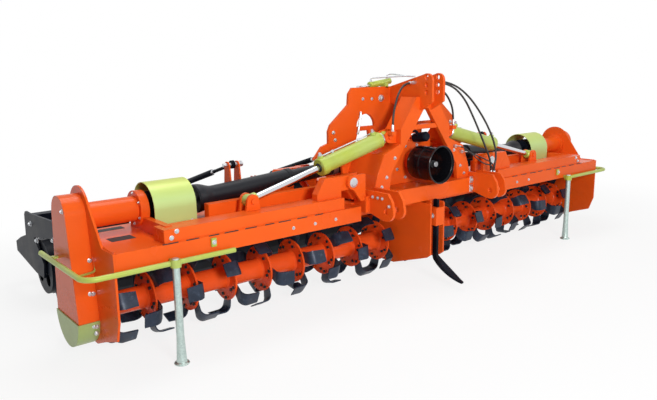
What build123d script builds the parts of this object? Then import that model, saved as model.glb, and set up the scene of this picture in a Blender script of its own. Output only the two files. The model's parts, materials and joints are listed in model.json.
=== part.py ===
from build123d import *
import math
import os

# Folding rotavator, 4.5 m working width: a centre frame with a three-point headstock, and two
# wings that fold up, each with its own rotor, drive case, packer roller, board and parking leg.
# Millimetres. X to the machine's right seen from behind, Y to the rear, Z up, floor at Z = 0.
# Lengths called dy are measured from the rotor axis towards the rear.

# ---- reach of the whole machine, from the rotor axis ----
front_reach = 740.0
rear_reach = 1490.0
axis_y = (front_reach - rear_reach) / 2
floor_z = 0.0

# ---- wings ----
half_width = 2245.0        # centre plane to the outer face of a side plate
inner_end = 60.0           # centre plane to a wing's inner bearing plate
side_plate_t = 12.0
deck_t = 8.0
deck_top_z = 635.0
front_dy = -423.0          # front face of wings and centre frame
lip_bottom_z = 540.0
inner_lip_dy = -310.0      # the deck's front edge behind the centre frame's beam
hood_bend_dy = 150.0
hood_rear_dy = 265.0
hood_rear_z = 470.0

# ---- fold hinges ----
hinge_x = 700.0
hinge_z = 790.0
hinge_eye_r = 45.0
hinge_pin_r = 20.0
hinge_arm_t = 50.0
hinge_gap = 5.0
ear_t = 20.0
ear_inner_x = 560.0
ear_step_x = 600.0
front_hinge_dy = -360.0
rear_hinge_dy = 130.0
pin_clearance = 0.05       # radial running clearance of pins and shafts
arm_outer_x = 970.0

# ---- wing beams ----
beam_inner_x = 780.0
front_beam_outer_x = 1975.0
front_beam_setback = 10.0
front_beam_depth = 120.0
front_beam_top_z = 706.0
rear_beam_dy = -175.0
rear_beam_depth = 50.0
rear_beam_outer_x = 1600.0
rear_beam_top_z = 751.0

# ---- rotor ----
rotor_z = 238.0
tip_r = 230.0
rotor_tube_r = 66.0
flange_r = 145.0
flange_t = 12.0
flange_count = 9
rotor_end_gap = 22.0
blades_per_flange = 6
blade_t = 9.0
blade_width = 90.0
blade_reach = 112.0        # sideways reach of a blade's bent tip
blade_bend_r = 34.0
blade_crown = 6.0          # the tip's flat face inside the cutting circle
blade_lap = 55.0           # shank beside the flange
blade_step_deg = 23.0
stub_r = 30.0

# ---- side drive case and its shoe ----
case_t = 106.0
case_low_r = 164.0
case_top_r = 105.0
case_top_z = 770.0
shoe_t = 6.0
shoe_top_z = 228.0

# ---- side plate outline ----
plate_front_low_z = 290.0
plate_low_z = 80.0
plate_dome_r = 140.0
plate_dome_z = 775.0
plate_shoulder_dy = -276.0
plate_back_shoulder_dy = 205.0
inner_plate_front_dy = -490.0
inner_plate_gap = 10.0     # under the centre frame's beam

# ---- drive to the wings ----
drive_z = 750.0            # input tube and clutch axis
tube_r = 69.0
tube_inner_x = 1938.0
collar_r = 98.0
collar_t = 38.0
clutch_r = 85.0
clutch_inner_x = 1665.0
cover_r = 138.0
cover_t = 4.0
cover_inner_x = 1642.0
cover_outer_x = 1892.0
gearbox_z = 838.0          # input shaft and the two outputs
shaft_inner_x = 290.0
shaft_outer_x = 1610.0
guard_inner_r = 46.0
guard_outer_r = 56.0
guard_clearance = 0.5
shaft_inner_length = 850.0
shaft_outer_length = 720.0
bell_r = 84.0
bell_length = 75.0
bell_setback = 30.0        # from a shaft's outer joint to its bell
inner_bell_r = 60.0
inner_bell_setback = 45.0
yoke_r = 26.0              # rounded ends of the shaft joints' forks and eyes
yoke_eye_half = 24.0
yoke_gap = 2.0
yoke_ear_t = 12.0
yoke_pin_r = 12.0
yoke_neck_r = 20.0

# ---- fold cylinders ----
cylinder_dy = -283.0
tower_pin_x = 300.0
tower_pin_z = 1035.0
lug_x = 1385.0
lug_z = 756.0
barrel_r = 50.0
barrel_length = 530.0
barrel_base = 60.0
bore_end = 25.0
rod_r = 22.5
rod_length = 560.0
eye_r = 36.0
eye_t = 50.0
cylinder_pin_r = 16.0
lug_ear_t = 16.0
lug_gap = 2.0
pin_head = 10.0

# ---- centre frame ----
frame_half = 610.0
frame_low_z = 585.0        # front cross beam
frame_top_z = 690.0
frame_beam_depth = 100.0
seat_low_z = 650.0         # plate and rear cross beam over the wings' decks
rear_beam_front_dy = 60.0
rear_cross_top_z = 735.0
rail_inner_x = 500.0
rail_top_z = 695.0

# ---- headstock ----
post_dy = -372.0           # front face of the front plate
post_t = 30.0
crossbar_z = 1090.0
crossbar_h = 32.0
rear_plate_dy = -90.0
rear_plate_t = 20.0
rear_plate_top_z = 1357.0
cheek_t = 12.0
cheek_top_dy = -230.0
top_link_gap = 90.0
top_link_t = 20.0
top_link_r = 16.25
top_link_dy = -430.0
top_link_depth = 96.0
top_link_low_z = 1200.0
top_link_high_z = 1445.0
top_hole_z = (1320.0, 1370.0, 1418.0)

lock_x = 45.0              # small cylinder on the headstock's top: its inner end
lock_z = 1419.0
lock_body = 190.0
lock_rod = 95.0
lock_r = 21.0
lock_rod_r = 8.0
lock_tilt_deg = 13.0

# ---- lower hitch ----
hitch_inner_x = 477.0
hitch_outer_x = 571.0
hitch_t = 20.0
hitch_dy = -575.0
hitch_z = 612.0
hitch_lobe_r = 62.0
hitch_pin_r = 18.5
hitch_top_z = 726.0
hitch_nose = 50.0          # how far the ears' top edge slopes in front

# ---- power take-off ----
pto_shaft_r = 22.2
pto_shaft_tip_dy = -470.0
pto_collar_r = 30.0
gearbox_front_dy = -235.0
gearbox_rear_dy = rear_beam_front_dy
gearbox_half = 200.0
gearbox_low_z = 690.0
gearbox_top_z = 980.0
boss_r = 48.0
boss_length = 40.0
nose_r = 70.0
nose_length = 65.0
pto_bore_depth = 60.0
guard_rim_dy = -520.0
guard_rim_r = 130.0
guard_back_r = 116.0
guard_t = 5.0
guard_bell_dy = -440.0
guard_back_dy = -305.0

# ---- centre tine ----
tine_w = 40.0
tine_t = 22.0
tine_top_z = 599.0
tine_bend_z = 195.0
tine_dy = -456.0           # rear face of the shank
tine_clearance = 0.3
holder_half = 40.0
holder_wall = 16.0
holder_low_z = 420.0
holder_top_z = 546.0
hanger_half = 20.0

# ---- packer roller and its frame ----
roller_dy = 945.0
roller_r = 250.0
roller_tube_r = 178.0
roller_inner_x = 95.0
roller_outer_x = 2195.0
roller_wall = 8.0
roller_end_t = 12.0
end_hole_r = 42.0
end_hole_pcd_r = 105.0
ring_pitch = 150.0
ring_t = 12.0
ring_teeth = 12
tooth_depth = 34.0
roller_plate_t = 15.0
roller_plate_gap = 6.0
roller_stub_r = 25.0
roller_beam = 80.0
roller_beam_dy = 1142.0
roller_beam_z = 525.0
scraper_bar = 50.0
scraper_bar_z = 285.0
scraper_t = 10.0
scraper_w = 70.0
scraper_gap = 8.0
arm_head_dy = 200.0        # where a roller arm leaves the hood
arm_head_z = 640.0

# ---- levelling board ----
board_t = 8.0
board_knuckle_r = 14.0
board_gap = 0.3
board_hinge_dy = hood_rear_dy - deck_t / 2
board_hinge_z = hood_rear_z - board_knuckle_r - board_gap
board_sweep_deg = 47.0
board_r = 420.0
board_inset = 45.0

# ---- parking legs and guard bars ----
leg_r = 21.0
leg_dy = -458.0
leg_top_z = 566.0
foot_r = 40.0
foot_t = 8.0
leg_flare_r = 30.0
leg_flare_h = 150.0
sleeve_r = 28.0
sleeve_h = 40.0
bar_r = 14.0
bar_z = 540.0
bar_dy = -447.0
bar_stand_off = 46.0       # bar's side run outside the drive case
bar_corner_x = half_width + case_t + bar_stand_off
bar_corner_r = 70.0
bar_rear_dy = 205.0
# side, leg's distance and bar's inner end from the wing's outer face
leg_rows = (("left", 302.0, 654.0), ("right", 521.0, 545.0))

# ---- hydraulic hoses on the centre frame ----
hose_r = 7.0
thin_hose_r = 4.5
hose_clip_dy = -356.0      # where a cylinder's hose meets its bracket
hose_holder_dy = -488.0
hose_holder_half = 24.0
feed_hose_dy = -477.0
thin_hose_dy = -500.0
hose_holder_top_z = 688.0
hose_holder_end_x = 655.0
hose_boss_r = 11.0
hose_boss = 20.0           # length of the bosses that the hoses start from
ear_face_x = 65.0          # outer faces of the top-link ears


def at(dy):
    return axis_y + dy


def box(x0, x1, dy0, dy1, z0, z1):
    size = Box(abs(x1 - x0), abs(dy1 - dy0), abs(z1 - z0))
    return Pos((x0 + x1) / 2, at((dy0 + dy1) / 2), (z0 + z1) / 2) * size


def rod_x(x0, x1, dy, z, radius):
    turned = Rot(0, 90, 0) * Cylinder(radius, abs(x1 - x0))
    return Pos((x0 + x1) / 2, at(dy), z) * turned


def rod_y(x, dy0, dy1, z, radius):
    turned = Rot(90, 0, 0) * Cylinder(radius, abs(dy1 - dy0))
    return Pos(x, at((dy0 + dy1) / 2), z) * turned


def rod_z(x, dy, z0, z1, radius):
    return Pos(x, at(dy), (z0 + z1) / 2) * Cylinder(radius, abs(z1 - z0))


def slab_x(points, x0, x1):
    """A plate of a (dy, z) outline between two x planes."""
    face = make_face(Polyline(*[(x0, at(dy), z) for dy, z in points], close=True))
    return extrude(face, amount=x1 - x0, dir=(1, 0, 0))


def slab_y(points, dy0, dy1):
    """A plate of an (x, z) outline between two dy planes."""
    face = make_face(Polyline(*[(x, at(dy0), z) for x, z in points], close=True))
    return extrude(face, amount=dy1 - dy0, dir=(0, 1, 0))


def fused(solids):
    return Part() + solids


def mirrored(shape):
    return mirror(shape, about=Plane.YZ)


def arc_points(centre, radius, start_deg, end_deg, count):
    steps = [start_deg + (end_deg - start_deg) * i / (count - 1) for i in range(count)]
    return [
        (centre[0] + radius * math.cos(math.radians(a)), centre[1] + radius * math.sin(math.radians(a)))
        for a in steps
    ]


# ---------------------------------------------------------------- wing frame
deck_inner_x = inner_end + side_plate_t
deck_outer_x = half_width - side_plate_t
deck_step_x = frame_half + 40


def deck_profile(lip_dy):
    low = deck_top_z - deck_t
    return [
        (lip_dy, lip_bottom_z),
        (lip_dy, deck_top_z),
        (hood_bend_dy, deck_top_z),
        (hood_rear_dy, hood_rear_z),
        (hood_rear_dy - deck_t, hood_rear_z),
        (hood_bend_dy - deck_t / 2, low),
        (lip_dy + deck_t, low),
        (lip_dy + deck_t, lip_bottom_z),
    ]


def wing_deck():
    outer = slab_x(deck_profile(front_dy), deck_step_x, deck_outer_x)
    inner = slab_x(deck_profile(inner_lip_dy), deck_inner_x, deck_step_x)
    end = box(deck_step_x, deck_step_x + deck_t, front_dy, inner_lip_dy + deck_t, lip_bottom_z, deck_top_z)
    return fused([outer, inner, end])


def hinge_arm(dy):
    low = deck_top_z
    eye = rod_y(hinge_x, dy - hinge_arm_t / 2, dy + hinge_arm_t / 2, hinge_z, hinge_eye_r)
    arm = slab_y(
        [
            (hinge_x, hinge_z + hinge_eye_r),
            (arm_outer_x - 60, hinge_z + hinge_eye_r),
            (arm_outer_x, hinge_z - hinge_eye_r),
            (arm_outer_x, low),
            (beam_inner_x, low),
            (beam_inner_x, hinge_z - hinge_eye_r),
            (hinge_x, hinge_z - hinge_eye_r),
        ],
        dy - hinge_arm_t / 2,
        dy + hinge_arm_t / 2,
    )
    hole = rod_y(hinge_x, dy - hinge_arm_t, dy + hinge_arm_t, hinge_z, hinge_pin_r + pin_clearance)
    return eye + arm - hole


def rod_lug():
    """Two ears that hold the fold cylinder's rod eye, each with its end of the pin."""
    reach = eye_t / 2 + lug_gap
    ears = []
    for side in (-1, 1):
        near = cylinder_dy + side * reach
        far = cylinder_dy + side * (reach + lug_ear_t)
        ear = slab_y(
            [
                (lug_x - 60, deck_top_z),
                (lug_x - 40, lug_z),
                (lug_x + 40, lug_z),
                (lug_x + 60, deck_top_z),
            ],
            min(near, far),
            max(near, far),
        )
        ears.append(ear)
        ears.append(rod_y(lug_x, near, far, lug_z, eye_r + 4))
        head = cylinder_dy + side * (reach + lug_ear_t + pin_head)
        ears.append(rod_y(lug_x, near, head, lug_z, cylinder_pin_r))
    return fused(ears)


def wing_beams():
    front = front_dy + front_beam_setback
    front_beam = box(
        beam_inner_x, front_beam_outer_x, front, front + front_beam_depth, deck_top_z, front_beam_top_z
    )
    rear = rear_beam_dy - rear_beam_depth / 2
    rear_beam = box(
        beam_inner_x, rear_beam_outer_x, rear, rear + rear_beam_depth, deck_top_z, rear_beam_top_z
    )
    bracket = box(
        tube_inner_x - collar_t, tube_inner_x, front + front_beam_depth - 60, 90, deck_top_z, drive_z - 40
    )
    bracket = bracket + rod_x(tube_inner_x - collar_t, tube_inner_x, 0, drive_z, collar_r)
    hub = rod_x(tube_inner_x - collar_t, tube_inner_x, 0, drive_z, stub_r + 10)
    front_frame = fused([front_beam, hinge_arm(front_hinge_dy), rod_lug(), bracket]) - hub
    return [front_frame, rear_beam, hinge_arm(rear_hinge_dy)]


def plate_outline():
    dome = arc_points((0, plate_dome_z), plate_dome_r, 148, 20, 12)
    return (
        [
            (front_dy, deck_top_z),
            (plate_shoulder_dy, deck_top_z),
        ]
        + dome
        + [
            (plate_back_shoulder_dy, deck_top_z),
            (hood_bend_dy + 20, deck_top_z),
            (hood_rear_dy, hood_rear_z),
            (hood_rear_dy, plate_front_low_z),
            (hood_rear_dy - 130, plate_low_z),
            (-105, plate_low_z),
            (-225, plate_low_z + 48),
            (front_dy + 40, plate_low_z + 100),
            (front_dy, plate_front_low_z),
        ]
    )


def side_plate():
    plate = slab_x(plate_outline(), half_width - side_plate_t, half_width)
    return plate - rod_x(half_width - 40, half_width + 40, 0, rotor_z, stub_r + pin_clearance)


def inner_plate():
    """Plate at a wing's inner end that carries the rotor's inner bearing."""
    under_beam = frame_low_z - inner_plate_gap
    outline = [
        (inner_lip_dy, deck_top_z),
        (hood_bend_dy, deck_top_z),
        (hood_rear_dy, hood_rear_z),
        (hood_rear_dy - 40, plate_front_low_z),
        (110, 89),
        (-142, 89),
        (inner_plate_front_dy + 30, 190),
        (inner_plate_front_dy, 212),
        (inner_plate_front_dy, under_beam - 10),
        (inner_plate_front_dy + 10, under_beam),
        (inner_lip_dy, under_beam),
    ]
    plate = slab_x(outline, inner_end, inner_end + side_plate_t)
    return plate - rod_x(inner_end - 30, inner_end + 40, 0, rotor_z, stub_r + pin_clearance)


def drive_case():
    low = rod_x(half_width, half_width + case_t, 0, rotor_z, case_low_r)
    top = rod_x(half_width, half_width + case_t, 0, case_top_z, case_top_r)
    rise = case_top_z - rotor_z
    lean = math.asin((case_low_r - case_top_r) / rise)
    c, s = math.cos(lean), math.sin(lean)
    sides = slab_x(
        [
            (-case_low_r * c, rotor_z + case_low_r * s),
            (-case_top_r * c, case_top_z + case_top_r * s),
            (case_top_r * c, case_top_z + case_top_r * s),
            (case_low_r * c, rotor_z + case_low_r * s),
        ],
        half_width,
        half_width + case_t,
    )
    bore = rod_x(half_width - 5, half_width + case_t / 2, 0, rotor_z, stub_r + pin_clearance)
    return low + top + sides - bore


def case_shoe():
    outer = rod_x(half_width, half_width + case_t + shoe_t, 0, rotor_z, case_low_r + shoe_t)
    inner = rod_x(half_width - 5, half_width + case_t, 0, rotor_z, case_low_r)
    cut = box(half_width - 10, half_width + case_t + 20, -300, 300, shoe_top_z, shoe_top_z + 400)
    return outer - inner - cut


def input_tube():
    tube = rod_x(tube_inner_x, half_width - side_plate_t, 0, drive_z, tube_r)
    return tube


def fork(x, z, inboard_x):
    """Two ears of a shaft joint's fork, from inboard_x to the joint at x."""
    ears = []
    for side in (-1, 1):
        near = side * (yoke_eye_half + yoke_gap)
        far = side * (yoke_eye_half + yoke_gap + yoke_ear_t)
        ears.append(box(x, inboard_x, near, far, z - yoke_r, z + yoke_r))
        ears.append(rod_y(x, near, far, z, yoke_r))
    return ears


def slip_clutch():
    body = rod_x(clutch_inner_x, tube_inner_x - collar_t - 20, 0, drive_z, clutch_r)
    hub = rod_x(clutch_inner_x, tube_inner_x, 0, drive_z, stub_r + 10)
    return fused([body, hub] + fork(shaft_outer_x, drive_z, clutch_inner_x))


def clutch_cover():
    def shell(radius, low):
        round_top = rod_x(cover_inner_x, cover_outer_x, 0, drive_z, radius)
        skirt = box(cover_inner_x, cover_outer_x, -radius, radius, low, drive_z)
        upper = box(cover_inner_x, cover_outer_x, -radius, radius, drive_z, drive_z + radius)
        return (round_top & upper) + skirt
    return shell(cover_r, deck_top_z) - shell(cover_r - cover_t, deck_top_z - 10)


# ---------------------------------------------------------------- rotor
rotor_inner_x = deck_inner_x + rotor_end_gap
rotor_outer_x = deck_outer_x - rotor_end_gap


def blade(x, side, turn_deg):
    """One L-shaped blade: a shank bolted to the flange and a tip bent sideways."""
    top = tip_r - blade_crown
    root = flange_r - blade_lap
    bend = (blade_bend_r, top - blade_bend_r)
    outer = arc_points(bend, blade_bend_r, 180, 90, 4)
    inner = arc_points(bend, blade_bend_r - blade_t, 90, 180, 4)
    tip = [(blade_reach, top), (blade_reach, top - blade_t)]
    outline = [(0, root)] + outer + tip + inner + [(blade_t, root)]
    start = x + side * flange_t / 2
    points = [(start + side * reach, at(-blade_width / 2), rotor_z + r) for reach, r in outline]
    shape = extrude(make_face(Polyline(*points, close=True)), amount=blade_width, dir=(0, 1, 0))
    return Pos(0, axis_y, rotor_z) * (Rot(turn_deg, 0, 0) * (Pos(0, -axis_y, -rotor_z) * shape))


def rotor():
    span = rotor_outer_x - rotor_inner_x
    pitch = (span - flange_t - 2 * 30) / (flange_count - 1)
    pieces = [
        rod_x(rotor_inner_x, rotor_outer_x, 0, rotor_z, rotor_tube_r),
        rod_x(inner_end - 8, half_width + 30, 0, rotor_z, stub_r),
    ]
    for i in range(flange_count):
        x = rotor_inner_x + 30 + flange_t / 2 + i * pitch
        pieces.append(rod_x(x - flange_t / 2, x + flange_t / 2, 0, rotor_z, flange_r))
        for k in range(blades_per_flange):
            side = 1 if k % 2 else -1
            if (i == 0 and side < 0) or (i == flange_count - 1 and side > 0):
                side = -side
            turn = k * 360 / blades_per_flange + i * blade_step_deg
            pieces.append(blade(x, side, turn))
    return fused(pieces)


# ---------------------------------------------------------------- packer roller, frame and board
tooth_half_deg = 0.17 * 360 / ring_teeth
roller_z = floor_z + roller_r * math.cos(math.radians(tooth_half_deg))
plate_outer_x0 = roller_outer_x + roller_plate_gap
plate_inner_x1 = roller_inner_x - roller_plate_gap


def toothed_ring(x):
    step = 360 / ring_teeth
    points = []
    for i in range(ring_teeth):
        a = i * step
        root = roller_r - tooth_depth
        flank_deg = 2 * tooth_half_deg
        for r, turn in (
            (root, -flank_deg), (roller_r, -tooth_half_deg), (roller_r, tooth_half_deg), (root, flank_deg)
        ):
            t = math.radians(a + turn)
            points.append((roller_dy + r * math.sin(t), roller_z + r * math.cos(t)))
    return slab_x(points, x - ring_t / 2, x + ring_t / 2)


def packer_roller():
    """A hollow drum with toothed rings, closed by end discs that have four holes each."""
    x0, x1 = roller_inner_x, roller_outer_x
    drum = rod_x(x0, x1, roller_dy, roller_z, roller_tube_r)
    count = int((x1 - x0 - ring_t) // ring_pitch) + 1
    start = (x0 + x1 - (count - 1) * ring_pitch) / 2
    pieces = [drum] + [toothed_ring(start + i * ring_pitch) for i in range(count)]
    hollow = [
        rod_x(x0 + roller_end_t, x1 - roller_end_t, roller_dy, roller_z, roller_tube_r - roller_wall)
    ]
    for i in range(4):
        a = math.radians(45 + 90 * i)
        dy = roller_dy + end_hole_pcd_r * math.cos(a)
        z = roller_z + end_hole_pcd_r * math.sin(a)
        hollow.append(rod_x(x0 - 1, x1 + 1, dy, z, end_hole_r))
    whole = fused(pieces) - hollow
    stubs = [
        rod_x(plate_inner_x1 - roller_plate_t, x0 + roller_end_t, roller_dy, roller_z, roller_stub_r),
        rod_x(x1 - roller_end_t, plate_outer_x0 + roller_plate_t, roller_dy, roller_z, roller_stub_r),
    ]
    return whole + stubs


def hood_point(run):
    """A point on the hood's outer slope, run to the rear of its bend."""
    slope = (hood_rear_z - deck_top_z) / (hood_rear_dy - hood_bend_dy)
    return (hood_bend_dy + run, deck_top_z + slope * run)


def roller_frame():
    outline = [
        hood_point(15),
        (arm_head_dy, arm_head_z),
        (roller_beam_dy - 60, roller_beam_z + 60),
        (roller_beam_dy + 35, roller_beam_z + 60),
        (roller_beam_dy + 60, roller_beam_z + 35),
        (roller_beam_dy + 75, roller_beam_z - 110),
        (roller_beam_dy + 210, scraper_bar_z + 90),
        (rear_reach, scraper_bar_z + 35),
        (rear_reach, scraper_bar_z - 35),
        (roller_dy + 100, roller_z - 60),
        (roller_dy - 60, roller_z - 60),
        (roller_dy - 90, roller_z + 40),
        (roller_beam_dy - 120, roller_beam_z - 90),
        (arm_head_dy + 235, arm_head_z - 110),
        hood_point(100),
    ]
    outer = slab_x(outline, plate_outer_x0, plate_outer_x0 + roller_plate_t)
    inner = slab_x(outline, plate_inner_x1 - roller_plate_t, plate_inner_x1)
    half = roller_beam / 2
    beam = box(
        plate_inner_x1, plate_outer_x0, roller_beam_dy - half, roller_beam_dy + half,
        roller_beam_z - half, roller_beam_z + half,
    )
    bar_dy = rear_reach - scraper_bar
    bar = box(
        plate_inner_x1, plate_outer_x0, bar_dy, bar_dy + scraper_bar,
        scraper_bar_z - scraper_bar / 2, scraper_bar_z + scraper_bar / 2,
    )
    pieces = [outer, inner, beam, bar]
    count = int((roller_outer_x - roller_inner_x - ring_t) // ring_pitch)
    start = (roller_inner_x + roller_outer_x - (count - 1) * ring_pitch) / 2
    for i in range(count):
        x = start + i * ring_pitch
        low = scraper_bar_z - scraper_bar / 2
        near = roller_dy + roller_tube_r + scraper_gap
        pieces.append(box(x - scraper_w / 2, x + scraper_w / 2, near, bar_dy + 20, low - scraper_t, low))
    hole = rod_x(inner_end - 30, half_width + 30, roller_dy, roller_z, roller_stub_r + pin_clearance)
    return fused(pieces) - hole


def levelling_board():
    x0, x1 = deck_inner_x + board_inset, deck_outer_x - board_inset
    centre = (board_hinge_dy + board_r, board_hinge_z)
    outer = arc_points(centre, board_r, 180, 180 + board_sweep_deg, 6)
    inner = arc_points(centre, board_r - board_t, 180 + board_sweep_deg, 180, 6)
    sheet = slab_x(outer + inner, x0, x1)
    knuckle = rod_x(x0, x1, board_hinge_dy, board_hinge_z, board_knuckle_r)
    return sheet + knuckle


# ---------------------------------------------------------------- cylinders and shafts
def tilted(shape, x, z, dy, angle_deg):
    """Lay a shape made along +X at the pivot (x, dy, z), turned up by angle_deg."""
    return Pos(x, at(dy), z) * (Rot(0, -angle_deg, 0) * shape)


cylinder_angle = math.degrees(math.atan2(lug_z - tower_pin_z, lug_x - tower_pin_x))
cylinder_span = math.hypot(lug_z - tower_pin_z, lug_x - tower_pin_x)
shaft_angle = math.degrees(math.atan2(drive_z - gearbox_z, shaft_outer_x - shaft_inner_x))
shaft_span = math.hypot(drive_z - gearbox_z, shaft_outer_x - shaft_inner_x)


def along(x0, x1, radius):
    return Pos((x0 + x1) / 2, 0, 0) * (Rot(0, 90, 0) * Cylinder(radius, x1 - x0))


def cylinder_barrel():
    tube = along(barrel_base, barrel_base + barrel_length, barrel_r)
    bore = along(barrel_base + bore_end, barrel_base + barrel_length + 10, rod_r + pin_clearance)
    base = Rot(90, 0, 0) * Cylinder(eye_r, eye_t)
    neck = Pos(barrel_base / 2 + 5, 0, 0) * Box(barrel_base + 10, eye_t, eye_r * 1.6)
    hole = Rot(90, 0, 0) * Cylinder(cylinder_pin_r + pin_clearance, eye_t * 2)
    shape = base + neck + tube - bore - hole
    return tilted(shape, tower_pin_x, tower_pin_z, cylinder_dy, cylinder_angle)


def cylinder_rod():
    shank = along(cylinder_span - rod_length, cylinder_span - eye_r + 6, rod_r)
    eye = Pos(cylinder_span, 0, 0) * (Rot(90, 0, 0) * Cylinder(eye_r, eye_t))
    hole = Pos(cylinder_span, 0, 0) * (Rot(90, 0, 0) * Cylinder(cylinder_pin_r + pin_clearance, eye_t * 2))
    return tilted(shank + eye - hole, tower_pin_x, tower_pin_z, cylinder_dy, cylinder_angle)


def yoke_eye(s, hole):
    """Eye of a shaft joint at the distance s along the shaft."""
    eye = Pos(s, 0, 0) * (Rot(90, 0, 0) * Cylinder(yoke_r, 2 * yoke_eye_half))
    if hole:
        eye = eye - Pos(s, 0, 0) * (Rot(90, 0, 0) * Cylinder(yoke_pin_r + pin_clearance, 3 * yoke_eye_half))
    return eye


def shaft_inner():
    tube = along(inner_bell_setback, shaft_inner_length, guard_inner_r)
    bell = Pos(inner_bell_setback + bell_length / 2, 0, 0) * (
        Rot(0, 90, 0) * Cone(inner_bell_r, guard_inner_r, bell_length)
    )
    neck = along(yoke_r - 5, inner_bell_setback, yoke_neck_r)
    shape = fused([tube, bell, neck, yoke_eye(0, True)])
    return tilted(shape, shaft_inner_x, gearbox_z, 0, shaft_angle)


def shaft_outer():
    start = shaft_span - shaft_outer_length
    end = shaft_span - bell_setback
    tube = along(start, end, guard_outer_r)
    bell = Pos(end - bell_length / 2, 0, 0) * (Rot(0, 90, 0) * Cone(guard_outer_r, bell_r, bell_length))
    bore = along(start - 5, end - bell_length, guard_inner_r + guard_clearance)
    neck = along(end, shaft_span - yoke_r + 5, yoke_neck_r)
    shape = fused([tube, bell, neck, yoke_eye(shaft_span, False)]) - bore
    return tilted(shape, shaft_inner_x, gearbox_z, 0, shaft_angle)


# ---------------------------------------------------------------- parking legs and guard bars
def parking_leg(x):
    tube = rod_z(x, leg_dy, floor_z + foot_t, leg_top_z, leg_r)
    foot = rod_z(x, leg_dy, floor_z, floor_z + foot_t, foot_r)
    flare = Pos(x, at(leg_dy), floor_z + foot_t + leg_flare_h / 2) * Cone(leg_flare_r, leg_r, leg_flare_h)
    return tube + foot + flare


def guard_bar(x_leg, inner_x):
    front = at(bar_dy)
    rear = at(bar_rear_dy)
    path = FilletPolyline(
        (inner_x, front, bar_z), (bar_corner_x, front, bar_z), (bar_corner_x, rear, bar_z),
        radius=bar_corner_r,
    )
    start = Plane(origin=(inner_x, front, bar_z), z_dir=(1, 0, 0))
    bar = sweep(start * Circle(bar_r), path=path)
    low, high = bar_z - sleeve_h / 2, bar_z + sleeve_h / 2
    ring = rod_z(x_leg, leg_dy, low, high, sleeve_r)
    web = box(x_leg - 20, x_leg + 20, leg_dy, front_dy, lip_bottom_z, high)
    hole = rod_z(x_leg, leg_dy, low - 10, high + 10, leg_r + pin_clearance)
    stay = box(half_width + case_t, bar_corner_x, 60, 90, bar_z - 6, bar_z + 6)
    return fused([bar, ring, web, stay]) - hole


# ---------------------------------------------------------------- centre frame and headstock
def hinge_ears(dy, low_z, top_z):
    """The frame's ears on both sides of a wing's hinge arm."""
    ears = []
    reach = hinge_arm_t / 2 + hinge_gap
    for side in (-1, 1):
        near = dy + side * reach
        far = dy + side * (reach + ear_t)
        plate = slab_y(
            [
                (ear_inner_x, low_z),
                (ear_inner_x, top_z),
                (ear_step_x, top_z),
                (ear_step_x, hinge_z + hinge_eye_r),
                (hinge_x, hinge_z + hinge_eye_r),
                (hinge_x, hinge_z - hinge_eye_r),
                (frame_half + 30, seat_low_z + 15),
                (frame_half, seat_low_z + 15),
                (frame_half, low_z),
            ],
            min(near, far),
            max(near, far),
        )
        ears.append(plate)
        ears.append(rod_y(hinge_x, near, far, hinge_z, hinge_eye_r))
    return ears


def pin_rod(dy):
    reach = hinge_arm_t / 2 + hinge_gap + ear_t + 6
    return rod_y(hinge_x, dy - reach, dy + reach, hinge_z, hinge_pin_r)


def tine_holder():
    front = tine_dy - tine_w - tine_clearance - holder_wall
    holder = box(-holder_half, holder_half, front, tine_dy + holder_wall, holder_low_z, holder_top_z)
    hanger = box(-hanger_half, hanger_half, tine_dy + holder_wall, front_dy + 25, holder_low_z, frame_low_z)
    return [holder, hanger]


def centre_frame():
    pieces = [
        box(-frame_half, frame_half, front_dy, front_dy + frame_beam_depth, frame_low_z, frame_top_z),
        box(
            -frame_half, frame_half, rear_beam_front_dy, rear_beam_front_dy + frame_beam_depth,
            seat_low_z, rear_cross_top_z,
        ),
        box(
            -rail_inner_x, rail_inner_x, front_dy + frame_beam_depth, rear_beam_front_dy,
            seat_low_z, gearbox_low_z,
        ),
    ]
    for side in (-1, 1):
        pieces.append(
            box(
                side * rail_inner_x, side * (frame_half - 10), front_dy + frame_beam_depth,
                rear_beam_front_dy, seat_low_z, rail_top_z,
            )
        )
        ears = hinge_ears(front_hinge_dy, frame_low_z, frame_top_z)
        ears = ears + hinge_ears(rear_hinge_dy, seat_low_z, rear_cross_top_z)
        pieces = pieces + [ear if side > 0 else mirrored(ear) for ear in ears]
    slot_half = tine_t / 2 + tine_clearance
    slot = box(
        -slot_half, slot_half, tine_dy - tine_w - tine_clearance, tine_dy + tine_clearance,
        holder_low_z - 10, holder_top_z + 10,
    )
    pins = [pin_rod(dy) for dy in (front_hinge_dy, rear_hinge_dy)]
    return fused(pieces + tine_holder()) - [slot] - pins - [mirrored(pin) for pin in pins]


def hinge_pins():
    pins = [pin_rod(dy) for dy in (front_hinge_dy, rear_hinge_dy)]
    return pins + [mirrored(pin) for pin in pins]


# right outer edge of the headstock's front, from the top down: x, z
post_edge = (
    (97.0, 1290.0),
    (245.0, 1085.0),
    (245.0, 990.0),
    (398.0, 930.0),
    (460.0, 800.0),
    (490.0, frame_top_z),
)
# right inner edge, from the foot up
post_inner_edge = (
    (345.0, frame_top_z),
    (330.0, 800.0),
    (20.0, 1212.0),
    (0.0, 1212.0),
)


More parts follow.
